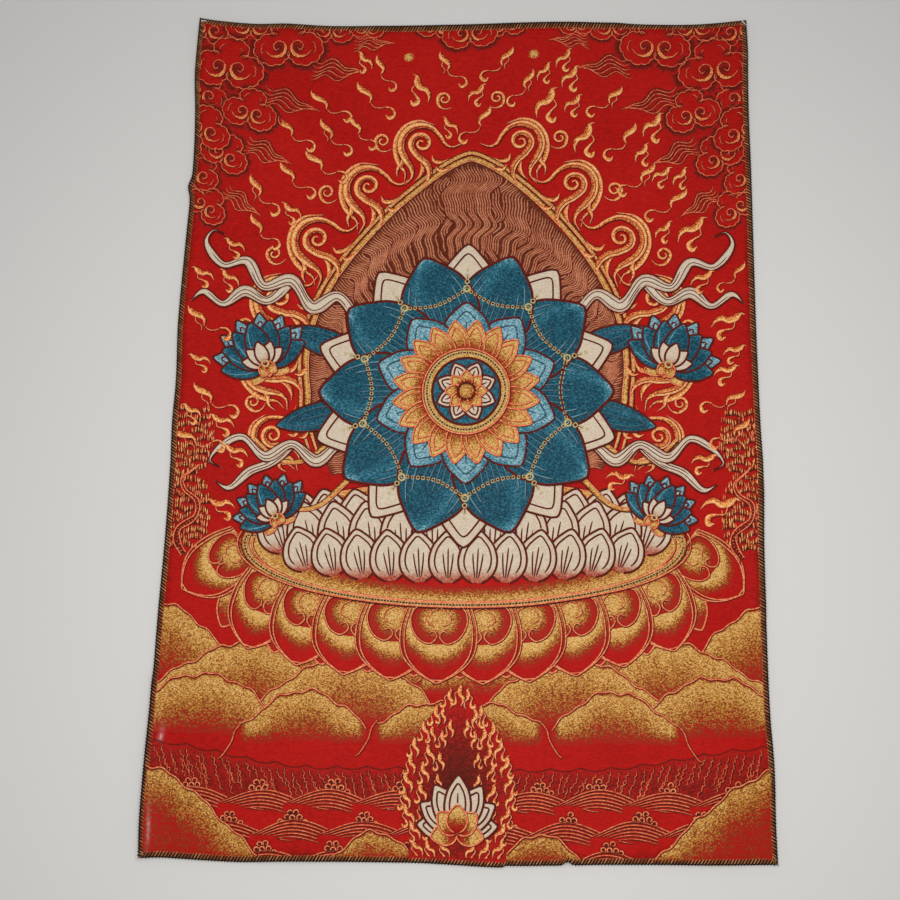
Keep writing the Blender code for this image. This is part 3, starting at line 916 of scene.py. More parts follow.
def pale_blue_tone(u, v):
    """Pale body that darkens towards its foot."""
    return 0.88 - 0.50 * smoothstep((0.5 - v) / 0.5) - 0.25 * np.abs(2 * u - 1) ** 3


def cream_tone(u, v):
    """Cream body with a blush at its foot."""
    return 0.80 - 0.70 * smoothstep((0.34 - v) / 0.34) - 0.12 * np.abs(2 * u - 1) ** 4


def gold_tip_tone(u, v):
    """Gold that thickens from nothing at the foot to the tip."""
    return 0.05 + 0.85 * smoothstep((v - 0.1) / 0.6)


def bead(at, radius):
    """Small domed bead."""
    ring = arc(0, 315, radius, count=8)
    level = 1 + level_under(ring + at)
    heights = level * LEVEL + np.repeat((0.0, 0.35, 0.5), (8, 8, 1))
    tones = np.repeat((0.25, 0.75, 0.95), (8, 8, 1))
    faces = np.vstack((grid_faces(2, 8, wrap=True), [(8 + k, 8 + (k + 1) % 8, 16, 16) for k in range(8)]))
    weave("bead", np.vstack((ring, ring * 0.6, ((0.0, 0.0),))) + at, heights, tones, faces)


def beads_along(path, radius, spacing):
    """Row of beads on a dark cord."""
    stroke(path, 1.6, weft="dark", under=0)
    for spot in even(path, spacing)[:-1]:
        bead(spot, radius * DRAWS.uniform(0.9, 1.08))


def disc(centre, radius, weft, tone, squash=1.0, columns=72):
    """Round field."""
    def shape(u, v):
        angle = 2 * math.pi * u
        return centre[0] + radius * v * np.cos(angle), centre[1] + squash * radius * v * np.sin(angle)
    return patch(shape, max(3, round(radius / 4) + 1), columns, weft, tone, wrap=True)


def circle(centre, radius, squash=1.0):
    """Closed round line."""
    return even(arc(0, 360, radius, squash, 160) + centre)


ROSETTE = (0.0, -428.0)  # the middle of the large flower
PETALS = 10              # in each of its main rings


def petal_ring(count, start, foot, width, height, weft, tone, **lines):
    """Ring of equal petals round the middle flower, and their shapes."""
    for k in range(count):
        angle = start + 360.0 * k / count
        yield petal(around(ROSETTE, angle, foot), width, height, angle - 90, weft, tone, **lines)


def rosette():
    """The large flower in the middle: rings of petals, garlands of beads and a small heart."""
    disc(ROSETTE, 128.0, "dark", lambda u, v: 0.6 + 0 * u)
    list(petal_ring(PETALS, 18, 60, 66, 104, "cream", cream_tone, insets=(0.13,), veins=3))
    for level, shape in petal_ring(PETALS, 0, 44, 84, 112, "teal", teal_tone, veins=0, rim=1.9):
        for inset in (0.12, 0.22):
            for side in (inset, 1 - inset):
                t = np.linspace(0.34, 0.88 - inset, 30)
                stroke(path_of(shape, side, t), 1.3, weft="pale", level=level, tone=0.75, under=0.9)
        for k in range(-2, 3):
            t = np.linspace(0.30, 0.62 - 0.05 * abs(k), 20)
            stroke(path_of(shape, 0.5 + k * 0.09 * (0.4 + t), t), 1.0, weft="pale", level=level, tone=0.7, under=0.6)
    sag = 1 - 0.11 * np.cos(np.linspace(-np.pi / 2, np.pi / 2, 16))
    for k in range(PETALS):
        angle = 360.0 / PETALS * k
        swag = arc(angle - 18, angle + 18, 112, count=16) * sag[:, None]
        beads_along(even(swag + ROSETTE), 2.2, 5.6)
        for reach, radius in ((113, 4.6), (121, 3.0), (128, 2.4), (134, 1.8)):
            bead(around(ROSETTE, angle + 18, reach), radius)
    list(petal_ring(PETALS, 18, 36, 52, 62, "teal", pale_blue_tone, insets=(0.2,), veins=1, inner="teal"))
    list(petal_ring(2 * PETALS, 9, 34, 24, 44, "gold", gold_tip_tone, insets=(0.2,), veins=0))
    disc(ROSETTE, 46.0, "gold", lambda u, v: 0.55 + 0.35 * v)
    stroke(circle(ROSETTE, 46), 1.5)
    beads_along(circle(ROSETTE, 41.5), 2.6, 6.0)
    disc(ROSETTE, 36.0, "teal", lambda u, v: 0.36 + 0.2 * v)
    stroke(circle(ROSETTE, 36), 1.4, weft="dark")
    list(petal_ring(8, 22.5, 6, 20, 27, "cream", cream_tone, insets=(0.22,), veins=1))
    list(petal_ring(8, 0, 4, 13, 18, "gold", gold_tip_tone, veins=0))
    disc(ROSETTE, 9.0, "gold", lambda u, v: 0.95 - 0.5 * v, columns=24)
    stroke(circle(ROSETTE, 9), 1.2, weft="dark")


HALO_START = 104.0       # radius at which the halo comes out from under the rosette
TRESS_LINES = 19


def aureole_radius(angle):
    """Edge of the halo: a pointed arch round the rosette, angles in degrees from the right."""
    from_top = np.abs(angle - 90)
    return 166 + 30 * np.cos(np.radians(np.minimum(from_top, 90))) + 66 * np.exp(-(from_top / 22.0) ** 1.35)


def polar(angle, radius):
    """Places at angles and radii about the rosette."""
    return np.column_stack((radius * np.cos(np.radians(angle)), radius * np.sin(np.radians(angle)))) + ROSETTE


def aureole():
    """Halo of fine copper lines in overlapping tresses that stream up and out behind the rosette."""
    def tress(start, wide, phase):
        def shape(u, v):
            first = start + wide * (u - 0.5)
            angle = first - 0.13 * (first - 90) * smoothstep(v)
            radius = HALO_START + (aureole_radius(angle) - HALO_START) * v * 0.985
            sway = (5.2 * np.sin(radius / 8.6 + phase) + 2.2 * np.sin(radius / 4.1 + 2 * phase)) * smoothstep(v * 4)
            places = polar((angle + sway / radius * 57.3).ravel(), radius.ravel())
            return places[:, 0].reshape(u.shape), places[:, 1].reshape(u.shape)
        return shape

    starts = [start for pair in zip(np.arange(-40, 90, 10.8), np.arange(220, 90, -10.8)) for start in pair]
    for start in starts + [90.0]:
        shape = tress(start, 16.0 if start == 90.0 else 20.0, 0.055 * abs(start - 90) + DRAWS.uniform(0, 2.4))
        level = patch(shape, 30, 9, "copper", lambda u, v: 0.16 + 0.06 * v)
        for k in range(TRESS_LINES):
            t = np.linspace((0.0, 0.30, 0.62, 0.30)[k % 4], DRAWS.uniform(0.965, 0.995), 60)
            tone = DRAWS.uniform(0.60, 0.84)
            line = path_of(shape, (k + 0.5) / TRESS_LINES, t, 2.3)
            stroke(line, 1.45, weft="copper", level=level, tone=tone, under=0)
        for u in (0.0, 1.0):
            stroke(path_of(shape, u, np.linspace(0.05, 0.99, 60), 2.3), 1.0, weft="dark", level=level, under=0)
    angles = np.linspace(-22.0, 202.0, 200)
    for away, width in ((2.0, 5.5), (9.5, 3.4)):
        spine = even(polar(angles, aureole_radius(angles) + away), 1.8)
        band(spine, profile(len(spine), (0, 2.0), (0.08, width), (0.92, width), (1, 2.0)))


def blossom(at, size, turn):
    """Lotus seen from the side: back petals, front petals, cream heart and gold sepals."""
    rings = (
        # angles                     width height weft    tone            inset
        ((-100, 100, -128, 128),      0.30, 0.46, "gold", gold_tip_tone,  ()),
        ((-64, 64, -38, 38, -13, 13), 0.44, 0.98, "teal", pale_blue_tone, (0.2,)),
        ((-80, 80, -52, 52, -26, 26, 0), 0.46, 0.84, "teal", teal_tone,   ()),
        ((-66, 66, -34, 34, 0),       0.25, 0.44, "cream", cream_tone,    ()),
        ((180, 150, 210),             0.20, 0.26, "gold", gold_tip_tone,  ()),
    )
    for angles, width, height, weft, tone, insets in rings:
        for angle in angles:
            level, shape = petal(at, size * width, size * height, turn + angle, weft, tone, insets, veins=0, rim=1.3)
            if tone is teal_tone:
                flank = path_of(shape, 0.2, np.linspace(0.3, 0.82, 20))
                stroke(flank, 1.2, weft="pale", level=level, tone=0.8, under=0)
    bead(at, size * 0.08)


def ribbon_scarf(points, branch, width):
    """Cream silk scarf that flutters out in two thinning tails, with dark edges and folds along it."""
    folds = (
        # share of the width, and from where to where along the tail
        (-0.5, 0.0, 1.0), (0.5, 0.0, 1.0), (0.22, 0.10, 0.62), (-0.10, 0.30, 0.84), (-0.28, 0.02, 0.40),
    )
    for line, stops in ((curve(np.vstack((points[3:4], branch))), ((0, 0.75), (0.4, 0.85), (0.8, 0.5), (1, 0.04))),
                        (curve(points), ((0, 0.5), (0.18, 1.0), (0.5, 0.85), (0.8, 0.55), (1, 0.04)))):
        count = len(line)
        widths = width * profile(count, *stops) * (1 + 0.16 * np.sin(np.linspace(0, count / 4.5, count)))
        level = band(line, widths, "cream", (0.5, 0.78, 0.9, 0.78, 0.46), edge=0)
        aside = side_steps(line) * widths[:, None]
        for share, start, end in folds:
            part = slice(int(start * count), int(end * count))
            stroke((line + aside * share)[part], 1.0, weft="dark", level=level, under=0)


# ---------------------------------------------------------------- the lower half: throne, hills and water

HEART = ((-0.05, -0.02), (-0.30, -0.04), (-0.37, -0.22), (-0.28, -0.42), (-0.12, -0.50), (-0.02, -0.42),
         (-0.06, -0.34), (-0.13, -0.37))
HEART_VEIN = ((0.0, -0.04), (0.12, -0.11), (0.15, -0.22), (0.06, -0.28))


def hanging_petal(at, width, height, turn):
    """Throne petal that hangs point down: a crescent of gold round a scrolled heart, dying away at the rim."""
    size = np.array((width, height))

    def shape(u, v):
        t = np.clip((v - 0.40) / 0.60, 0, 1)
        half = np.where(v < 0.40, 0.80 + 0.20 * np.sin(np.pi / 2 * v / 0.40), 1 - t ** 2.8)
        return laid(width / 2 * half * (2 * u - 1), -v * height, at, turn)

    def tone(u, v):
        reach = np.hypot(2 * u - 1, np.maximum(v - 0.08, 0) / 0.62)
        return 0.02 + 0.92 * (1 - smoothstep((reach - 0.80) / 0.42))

    level = patch(shape, 19, 17, "gold", tone)
    for inset in (0.0, 0.055):
        stroke(rim_of(shape, inset, 0.0, 1.0 - 0.7 * inset), 1.2, level=level, ends=1)
    half = np.array(HEART[:5])
    whole = curve(place(np.vstack((half, half[::-1] * (-1, 1))) * size, at, 1.0, turn), closed=True)
    heart_level = cover(whole)
    centre = place(np.array((0.0, -0.15)) * size, at, 1.0, turn)
    shares = (1.0, 0.80, 0.5, 0.02)
    weave("gold", np.vstack([centre + (whole - centre) * share for share in shares]), heart_level * LEVEL,
          np.repeat((0.02, 0.10, 0.72, 0.92), len(whole)), grid_faces(len(shares), len(whole), wrap=True))
    for side in (-1, 1):
        for points, line, under in ((HEART, 1.2, 1.7), (HEART_VEIN, 0.9, 0.9)):
            path = curve(place(np.array(points) * size * (side, 1), at, 1.0, turn), step=1.6)
            stroke(path, line, level=heart_level, under=under)


def throne():
    """Lotus throne: a rimmed dais with upright cream petals on it, and gold petals hanging all round."""
    centre, wide, deep = np.array((0.0, -588.0)), 226.0, 62.0            # the dais: an ellipse, and its half axes

    def edge(angle, out=0.0):
        """Place on the rim of the dais and the way that it faces there, in degrees."""
        c, s = math.cos(math.radians(angle)), math.sin(math.radians(angle))
        facing_way = -90 + 0.66 * ((math.degrees(math.atan2(s * wide, c * deep)) + 270) % 360 - 180)
        return around(centre + (wide * c, deep * s), facing_way, out), facing_way

    # Petals all round the front, evenly spaced, and laid from the sides to the middle
    front = np.radians(np.linspace(-3, -177, 400))
    gone = lengths(np.column_stack((wide * np.cos(front), deep * np.sin(front))))
    count = 12                           # of the large petals; the small ones hang between them
    for between in (True, False):
        shares = (np.arange(count - 1) + 0.5 if between else np.arange(count)) / (count - 1)
        for share in sorted(shares, key=lambda share: -abs(share - 0.5)):
            angle = math.degrees(np.interp(share * gone[-1], gone, front))
            spot, way = edge(angle, 26 if between else 0)
            narrow = 1 - 0.22 * abs(math.cos(math.radians(angle))) ** 3
            if between:
                petal(spot, 40 * narrow, 46, way - 90, "gold",
                      lambda u, v: 0.85 - 0.75 * smoothstep((v - 0.35) / 0.5), veins=0)
            else:
                hanging_petal(spot, 78 * narrow, 78, way + 90)
    disc(centre, wide, "gold", lambda u, v: 0.02 + 0.8 * smoothstep((v - 0.66) / 0.3), squash=deep / wide, columns=120)
    rim = circle(centre, wide, squash=deep / wide)
    band(rim, np.full(len(rim), 6.5))
    for scale in (0.965, 1.035):
        stroke(even((rim - centre) * scale + centre), 1.3)
    beads_along(even(rim[rim[:, 1] < centre[1] + 8]), 2.2, 6.4)
    rows = (
        # petals reach rise width height
        (14,     196,  4,   42,   52),
        (13,     184,  -22, 44,   66),
        (12,     160,  -40, 40,   54),
    )
    for count, reach, rise, width, height in rows:
        for k in sorted(range(count), key=lambda k: -abs(k - (count - 1) / 2)):
            x = reach * (2 * k / (count - 1) - 1)
            bow = 1 - math.sqrt(1 - (x / (reach + 24)) ** 2)
            petal(centre + (x, rise + 24 * bow), width, height * (1 - 0.25 * bow), -x * 0.11, "cream", cream_tone,
                  insets=(0.15,), veins=3)


WATER = 1.6              # level of the reeds' strokes and the waves
SWELL_ENDS = (42, 36, 33, 31, 29, 26)    # where each line of a swell ends, from its crest down
REED_REACH, REED_FOOT = 303, -838        # how far out the reeds stand, and how far down


def hill(points, base, fade, strength=0.74):
    """Hill with a ridge line and gold stipple that thins out below it. Returns its outer foot."""
    ridge = curve(points, step=3.4)
    start = ridge[0, 0]
    ridge[:, 1] += 1.9 * np.sin(ridge[:, 0] / 6.1 + start) + 1.1 * np.sin(ridge[:, 0] / 2.7 + 2 * start)
    count = len(ridge)

    def crest(u, axis):
        return np.interp(u * (count - 1), np.arange(count), ridge[:, axis])

    def shape(u, v):
        y = crest(u, 1)
        return crest(u, 0), y + (np.minimum(base, y) - y) * v

    def tone(u, v):
        depth = (crest(u, 1) - base) * v
        ground = smoothstep((depth / np.maximum(v, 1e-6) - depth + 1) / 15) * smoothstep(np.minimum(u, 1 - u) * 11)
        return 0.03 + (0.02 + strength * (1 - 0.9 * smoothstep(depth / fade))) * ground

    level = patch(shape, max(4, round((ridge[:, 1].max() - base) / 4)), count, "gold", tone)
    stroke(even(ridge), 1.2, level=level, ends=2)
    return ridge[np.abs(ridge[:, 0]).argmax()]


def wave(at, length, height):
    """One swell: fine lines that part from its foot, run level over its crest and sink one after another."""
    t = np.linspace(0, 1, SWELL_ENDS[0])
    rise = height * np.sin(np.pi * t ** 0.8) ** 1.6 - 6.0 * smoothstep((t - 0.3) * 1.6)
    crest = np.column_stack((t * length, rise)) + at
    down = np.outer(3.3 * (0.48 + 0.52 * np.sin(np.pi * t) ** 0.8), (0, 1))
    cover(np.vstack((crest, (crest - down * 5)[::-1])))
    for k, end in enumerate(SWELL_ENDS):
        line = even((crest - down * k)[2 * k:end], 2.8)
        glow(line, 3.0, side=-1, strength=0.7, level=WATER)
        stroke(line, 1.0, level=WATER, under=1.2, ends=8, tone=0.5)


def foam(at, size, count):
    """Heap of small round curls on a brown shade."""
    spots = ((-2.0, -0.55), (2.05, -0.6), (-0.55, 0.85), (0.50, 0.95), (-1.05, 0.10), (1.10, 0.05), (0.0, 0.0))
    rolled = np.vstack((arc(-55, 200, size * 0.44), arc(200, 330, size * 0.24) + (-size * 0.20, 0.0)))
    for x, y in spots[-count:]:
        spot = np.array(at) + np.array((x, y)) * size + DRAWS.uniform(-0.7, 0.7, 2)
        disc(spot, size * 0.62, "dark", lambda u, v: 0.66 - 0.16 * v, columns=14)
        ring = place(rolled, spot, 1.0, DRAWS.uniform(-20, 20), x > 0)
        stroke(curve(ring[::4], step=1.2), 1.1, level=level_under(ring), under=1.0, ends=2, tone=0.6)


def reeds():
    """Band of crooked strokes that lean inwards, like grass, in brown shade under a dark wavy bank line."""
    def bank(x):
        return -788 - 20 * smoothstep((300 - np.abs(x)) / 170) - 3.2 * np.abs(np.sin(x * 0.105))

    def bed(u, v):
        x = 2 * REED_REACH * u - REED_REACH
        return x, bank(x) - 1 - v * (bank(x) - REED_FOOT)

    patch(bed, 16, 200, "dark", lambda u, v: 0.08 + 0.20 * smoothstep(v * 3.0), level=1)
    x = np.arange(-REED_REACH, REED_REACH + 0.5, 1.6)
    stroke(np.column_stack((x, bank(x))), 1.2, weft="dark", level=WATER, under=0, tone=0.5)
    for x in np.arange(-301, 302, 8.2):
        side = 1 if x < 0 else -1
        for start, strand in ((0.0, 1.0), (2.9, 0.6)):
            if start and DRAWS.uniform() < 0.45:
                continue
            spot = np.array((x + start * side + DRAWS.uniform(-1.0, 1.0), 0.0))
            spot[1] = bank(spot[0]) - DRAWS.uniform(1.5, 5.0) - 9 * (start > 0)
            foot = spot[1] - strand * DRAWS.uniform(14, 34) * (0.7 + abs(x) / 600)
            line = [tuple(spot)]
            while spot[1] > max(foot, REED_FOOT + 2):
                for inwards_low, inwards_high, down_low, down_high in ((-1.6, 0.6, 2.4, 5.5), (1.2, 3.8, 0.6, 2.2)):
                    spot += (side * DRAWS.uniform(inwards_low, inwards_high), -DRAWS.uniform(down_low, down_high))
                    line.append(tuple(spot))
            line = even(np.array(line), 1.3)
            glow(line, -side * 3.6, strength=0.56, level=WATER - 0.3, ends=3)
            stroke(line, 0.78, under=1.3, level=WATER, tone=0.36)


def landscape():
    """Hills, reeds and water along the bottom."""
    hills = (
        # ridge, from foot to foot                                                          base  fade
        (((230, -716), (252, -684), (278, -664), (300, -654), (322, -650)),                 -731, 80),
        (((92, -716), (122, -690), (156, -680), (192, -690), (222, -716)),                  -731, 68),
        (((-44, -726), (-12, -700), (24, -690), (58, -698), (92, -726)),                    -739, 64),
        (((140, -742), (166, -706), (200, -686), (238, -692), (276, -712), (322, -742)),    -755, 80),
        (((20, -756), (50, -726), (88, -706), (128, -704), (172, -724), (212, -756)),       -769, 80),
        (((176, -770), (210, -736), (244, -722), (282, -726), (322, -750)),                 -781, 68),
        (((92, -772), (116, -750), (150, -735), (184, -744), (220, -772)),                  -787, 56),
        (((-30, -768), (-4, -752), (26, -746), (54, -752), (84, -768)),                     -787, 48),
    )
    shores = (
        (((322, -806), (296, -814), (268, -828), (244, -846), (214, -872), (184, -900)),    -900, 51),
        (((128, -900), (106, -880), (80, -868), (58, -878), (36, -900)),                    -900, 33),
    )
    run_down = ((-3, 3), (3, -5), (6, -16), (14, -29), (18, -32))
    feet = [hill(mirrored(points, side)[::side], base, fade) for points, base, fade in hills for side in (-1, 1)]
    for foot in feet[-4:]:
        stroke(curve(foot + mirrored(run_down, np.sign(foot[0]))), 1.15, level=8, tone=0.46, ends=1.5)
    reeds()
    for y, shift in ((-843, 0), (-872, 34), (-900, 8)):
        crests = [(-366 + shift + 66 * k, DRAWS.uniform(104, 114), DRAWS.uniform(12, 15)) for k in range(11)]
        for x, length, height in crests:
            heap = (x + 0.40 * length + DRAWS.uniform(-7, 7), y + height + 1)
            foam(heap, DRAWS.uniform(5.2, 6.2), DRAWS.integers(4, 8))
        for x, length, height in crests:
            wave((x, y), length, height)
    for side in (-1, 1):
        for points, base, fade in shores:
            hill(mirrored(points, side)[::-side], base, fade, 0.66)


def bud():
    """Cream lotus bud with a pointed border of small flames, in the middle of the water."""
    shape = leaf_shape((0.0, -900.0), 108, 168, 0, foot=0.9)

    def glowing(u, v):
        return 0.09 + 0.52 * (1 - smoothstep(np.hypot((2 * u - 1) * 0.9, (v - 0.42) / 0.55)))

    patch(shape, 34, 20, "dark", glowing)
    for inset, count, size, top in ((0.0, 10, 11.5, 0.97), (0.15, 8, 10.5, 0.90), (0.30, 6, 9.5, 0.80)):
        for k in range(count):
            v = 0.12 + (top - 0.12) * k / (count - 1)
            x, y = (float(value[0]) for value in shape(np.array([inset]), np.array([v * (1 - 0.3 * inset)])))
            for side in (-1, 1):
                tongue((-side * x + DRAWS.uniform(-1, 1), y + 5), size * DRAWS.uniform(0.9, 1.15),
                       (126 - 32 * v + DRAWS.uniform(-7, 7)) - 139, side > 0, 1)
    for x, y, size in ((-9, -762, 10.5), (9, -762, 10.5), (0, -728, 12.5)):
        tongue((x, y), size, -46.0, x > 0, 1)
    at = np.array((0.0, -864.0))
    for angle in (-86, 86, -58, 58, -30, 30, 0):
        petal(at, 26, 50 - abs(angle) * 0.12, angle, "cream", cream_tone, insets=(0.2,))
    for angle in (-100, 100, -46, 46, 0):
        petal(at - (0, 4), 20, 26, angle, "gold", gold_tip_tone, veins=0)


# ---------------------------------------------------------------- the upper half: clouds and flames

STARS = ((-70, -40), (70, -40))


def sky():
    """Cloud banks in the two top corners, with streaming tails, a bank between them, and two stars."""
    tails = (
        # x   y    length turn
        (178, -52, 62, 186), (232, -88, 66, 196), (252, -146, 58, 206), (272, -204, 50, 214), (132, -22, 46, 182),
    )
    heads = (
        # x   y   size turn
        (158, -8, 25, 0), (300, -14, 30, 6), (250, -6, 28, 0), (118, -6, 18, 4), (206, -30, 38, -4),
        (302, -92, 30, 24), (272, -60, 39, 4), (292, -226, 24, 34), (304, -188, 25, 30), (276, -164, 27, 26),
        (300, -136, 30, 20), (248, -112, 30, 14),
    )
    for side in (-1, 1):
        for motif, rows in ((cloud_tail, tails), (cloud, heads)):
            for x, y, size, turn in rows:
                motif((side * x, y), size, turn, side < 0)
    for x, y, size, turn in ((-40, -4, 22, -8), (38, -4, 22, 6), (-2, -13, 30, 5)):
        cloud((x, y), size, turn)
    for spot in STARS:
        star(spot, 6.5)


def flame_border():
    """Large flame scrolls all round the halo, with small curls between them."""
    scrolls = (
        # angle from the right, distance from the halo, size and turn
        (-13, 42, 11.0, 30), (7, 45, 12.5, 22), (27, 46, 13.5, 10), (46, 46, 13.5, -2), (64, 46, 13.0, -14),
        (79, 48, 12.5, -26),
    )
    curls = (
        (-3, 60, 7.0, 20), (17, 72, 7.5, 10), (36, 76, 7.5, 0), (55, 76, 7.5, -10), (71, 80, 7.5, -20),
        (85, 84, 7.0, -30),
    )
    for motif, rows in ((flame_scroll, scrolls), (ring_curl, curls)):
        for angle, away, size, turn in rows:
            spot = polar(np.array([angle]), aureole_radius(np.array([angle])) + away)[0]
            for side in (-1, 1):
                motif(spot * (side, 1), size, turn, side > 0)


def loose_flames():
    """Licks of flame scattered over what is left of the red field, the largest first."""
    side_limit, packing, grid = 302, 0.84, 8.0
    scattered = []
    for reach, size_low, size_high in ((20.5, 15, 17.5), (16, 12, 14.5), (12, 10, 12)):
        spots = [(x, y) for y in np.arange(-40, -585, -grid) for x in np.arange(-290, 291, grid)]
        DRAWS.shuffle(spots)
        for spot in spots:
            spot = np.array(spot) + DRAWS.uniform(-3, 3, 2)
            if spot[1] + reach * 0.5 > -34 - 0.78 * max(0.0, abs(spot[0]) - 120) or abs(spot[0]) + reach > side_limit:
                continue
            if any(math.dist(spot, other) < packing * (reach + its_reach) for other, its_reach in scattered):
                continue
            if level_under(circle(spot, reach * 0.95)) or level_under(circle(spot, reach * 0.5)):
                continue
            if any(math.dist(spot, at) < 1.25 * reach + 11 for at in STARS):
                continue
            scattered.append((spot, reach))
            flip = spot[0] > 0
            kind = DRAWS.choice((0, 1, 2), p=(0.4, 0.25, 0.35)) if reach > 12 else 1
            size = DRAWS.uniform(size_low, size_high) * (1.45 if kind == 1 else 1.0)
            way = math.degrees(math.atan2(spot[1] + 560, abs(spot[0])))
            turn = 30 - 0.55 * way + DRAWS.uniform(-14, 14)
            offset = np.array((0.62, -0.66) if kind == 1 else (1.22, -1.12)) * size
            tongue(spot - place(offset, (0, 0), 1.0, turn, flip), size, turn, flip, kind)


STEMS = (((128, -470), (166, -500), (196, -500), (222, -478)), ((120, -520), (150, -548), (176, -552), (196, -540)))
SCARVES = (
    # the scarf, the branch that leaves it at its fourth point, and its width
    (((112, -356), (138, -322), (166, -334), (190, -304), (220, -312), (240, -284), (266, -290), (286, -268),
      (280, -252), (266, -256)), ((214, -328), (240, -318), (262, -334), (284, -322), (298, -334)), 13.5),
    (((104, -500), (130, -484), (156, -502), (182, -484), (210, -498), (234, -478), (256, -488), (268, -504),
      (256, -512)), ((204, -504), (226, -514), (246, -532), (262, -526)), 12.0),
)


def side_growth():
    """Trees at the edges, blossoms on stems, and the silk scarves between them."""
    for side in (-1, 1):
        leafy_tree((side * 288, -526), 24, 74)
        for points in STEMS:
            spine = curve(mirrored(points, side))
            band(spine, profile(len(spine), (0, 5.0), (1, 3.0)))
        for points, branch, width in SCARVES:
            ribbon_scarf(mirrored(points, side), mirrored(branch, side), width)
        for x, y, angle in ((120, -384, -70), (124, -446, -104)):
            petal((side * x, y), 30, 78, side * angle, "teal", teal_tone, insets=(0.2,), inner="pale")
        for x, y, size, lean in ((214, -398, 58, -22), (196, -560, 46, -30)):
            blossom((side * x, y), size, side * lean)


def draw_figure():
    """Everything woven into the red ground, from the back of the picture to its front."""
    for part in (sky, aureole, flame_border, landscape, throne, side_growth, rosette, bud, loose_flames):
        part()


# ---------------------------------------------------------------- cloth, overlocking and staples

GROUND_CELL = 3.6 * MM
GROUND_INSET = 0.9 * MM                  # from the cut edge, which lies in the overlocking
FACE_SHARE, EDGE_SHARE = 0.70, 0.02      # parts of the ground's map for its face and for its cut edge


def ground_material():
    """Red satin ground: fine rows, faint streaks, painted shade that darkens it next to the overlocked band, and two
    pale streaks low on the left: a scuff with painted sheen on a crease, and a painted highlight where the edge curls.
    """
    material, tree, shader, coordinates = principled("red satin ground")
    floats = woven_floats(tree, coordinates, 0.7, 3.2, 160.0)
    tone = weighted(tree, floats["Speckle"], 0.5, noise(tree, coordinates, 9.0, 3.0), 0.5)
    # painted shade: the ground darkens towards the overlocked band
    painted_edge_shade = maths(tree, "SUBTRACT", 1.0, tone_of(tree))
    tone = maths(tree, "SUBTRACT", tone, maths(tree, "MULTIPLY", painted_edge_shade, 0.42))
    colour = ramp(tree, tone, ((0.02, 104, 24, 12), (0.25, 163, 16, 12), (0.5, *RED), (0.8, 197, 29, 21)))
    surface(tree, shader, scuff_and_sheen(tree, coordinates, colour), (0.4, 0.1, floats["Relief"]),
            {"Roughness": 0.6, "Specular IOR Level": 0.08})
    return material


def back_material():
    """Wrong side: long loose floats of every weft, in streaks."""
    material, tree, shader, coordinates = principled("floats on the back")
    stretched = add_node(tree, "ShaderNodeMapping", {"Vector": coordinates, "Scale": (22.0, 22.0, 520.0)})
    streaks = noise(tree, stretched.outputs[0], 1.0, 3.0)
    tone = weighted(tree, streaks, 0.8, noise(tree, coordinates, 26.0, 4.0), 0.3)
    colour = ramp(tree, tone, ((0.36, 40, 26, 18), (0.46, 118, 22, 20), (0.54, 150, 60, 44), (0.6, 164, 120, 56),
                               (0.66, 40, 84, 96), (0.74, 190, 166, 132)))
    surface(tree, shader, colour, (0.6, 0.2, streaks), {"Roughness": 0.7})
    return material


def flat_map(piece, places, share=1.0):
    """UV map that lies as the cloth does when flat, over the left part of the square."""
    layer = piece.data.uv_layers.new(name="OFBake").data
    corners = np.empty(len(piece.data.loops), np.int32)
    piece.data.loops.foreach_get("vertex_index", corners)
    across, down = cloth_shares(places[corners])
    layer.foreach_set("uv", np.column_stack((share * across, 1 - down)).astype(np.float32).ravel())
    return layer


def make_ground():
    """The red cloth itself, face and back, on its folds."""
    columns, rows = round(WIDTH / GROUND_CELL), round(DROP / GROUND_CELL)
    across, down = np.meshgrid(*(np.linspace(GROUND_INSET / side, 1 - GROUND_INSET / side, count + 1)
                                 for side, count in ((WIDTH, columns), (DROP, rows))))
    sides = [on_cloth(across, down, np.full(across.shape, forwards)).reshape(-1, 3)
             for forwards in (CLOTH_THICK / 2, -CLOTH_THICK / 2)]
    count = len(sides[0])
    face = grid_faces(rows + 1, columns + 1)
    border = border_of(np.arange(count).reshape(rows + 1, columns + 1))
    after = np.roll(border, -1)
    edge = np.column_stack((border, border + count, after + count, after))
    flat = np.column_stack((across.ravel() * WIDE - HALF, -down.ravel() * TALL))
    ground = make_mesh("woven_ground", np.vstack(sides), np.vstack((face[:, ::-1], face + count, edge[:, ::-1])),
                       (ground_material(), back_material()),
                       np.tile(smoothstep((inset_of(flat) - EDGE_SHADE) / EDGE_SHADE_FADE), 2))
    layer = flat_map(ground, np.vstack((flat, flat)), FACE_SHARE)
    mapped = np.empty(len(layer) * 2, np.float32)
    layer.foreach_get("uv", mapped)
    mapped = mapped.reshape(-1, 4, 2)
    back_faces = slice(len(face), 2 * len(face))
    mapped[back_faces, :, 0] = 1 - (1 - FACE_SHARE - EDGE_SHARE) * mapped[back_faces, :, 0] / FACE_SHARE
    gone = np.arange(len(border) + 1) / len(border)
    v = np.stack((gone[1:], gone[1:], gone[:-1], gone[:-1]), 1)
    u = FACE_SHARE + EDGE_SHARE * np.array((0.3, 0.7, 0.7, 0.3))
    mapped[2 * len(face):] = np.stack((np.broadcast_to(u, v.shape), v), -1)
    layer.foreach_set("uv", mapped.ravel())
    kinds = np.zeros(len(ground.data.polygons), np.int32)
    kinds[back_faces] = 1
    ground.data.polygons.foreach_set("material_index", kinds)
    return ground


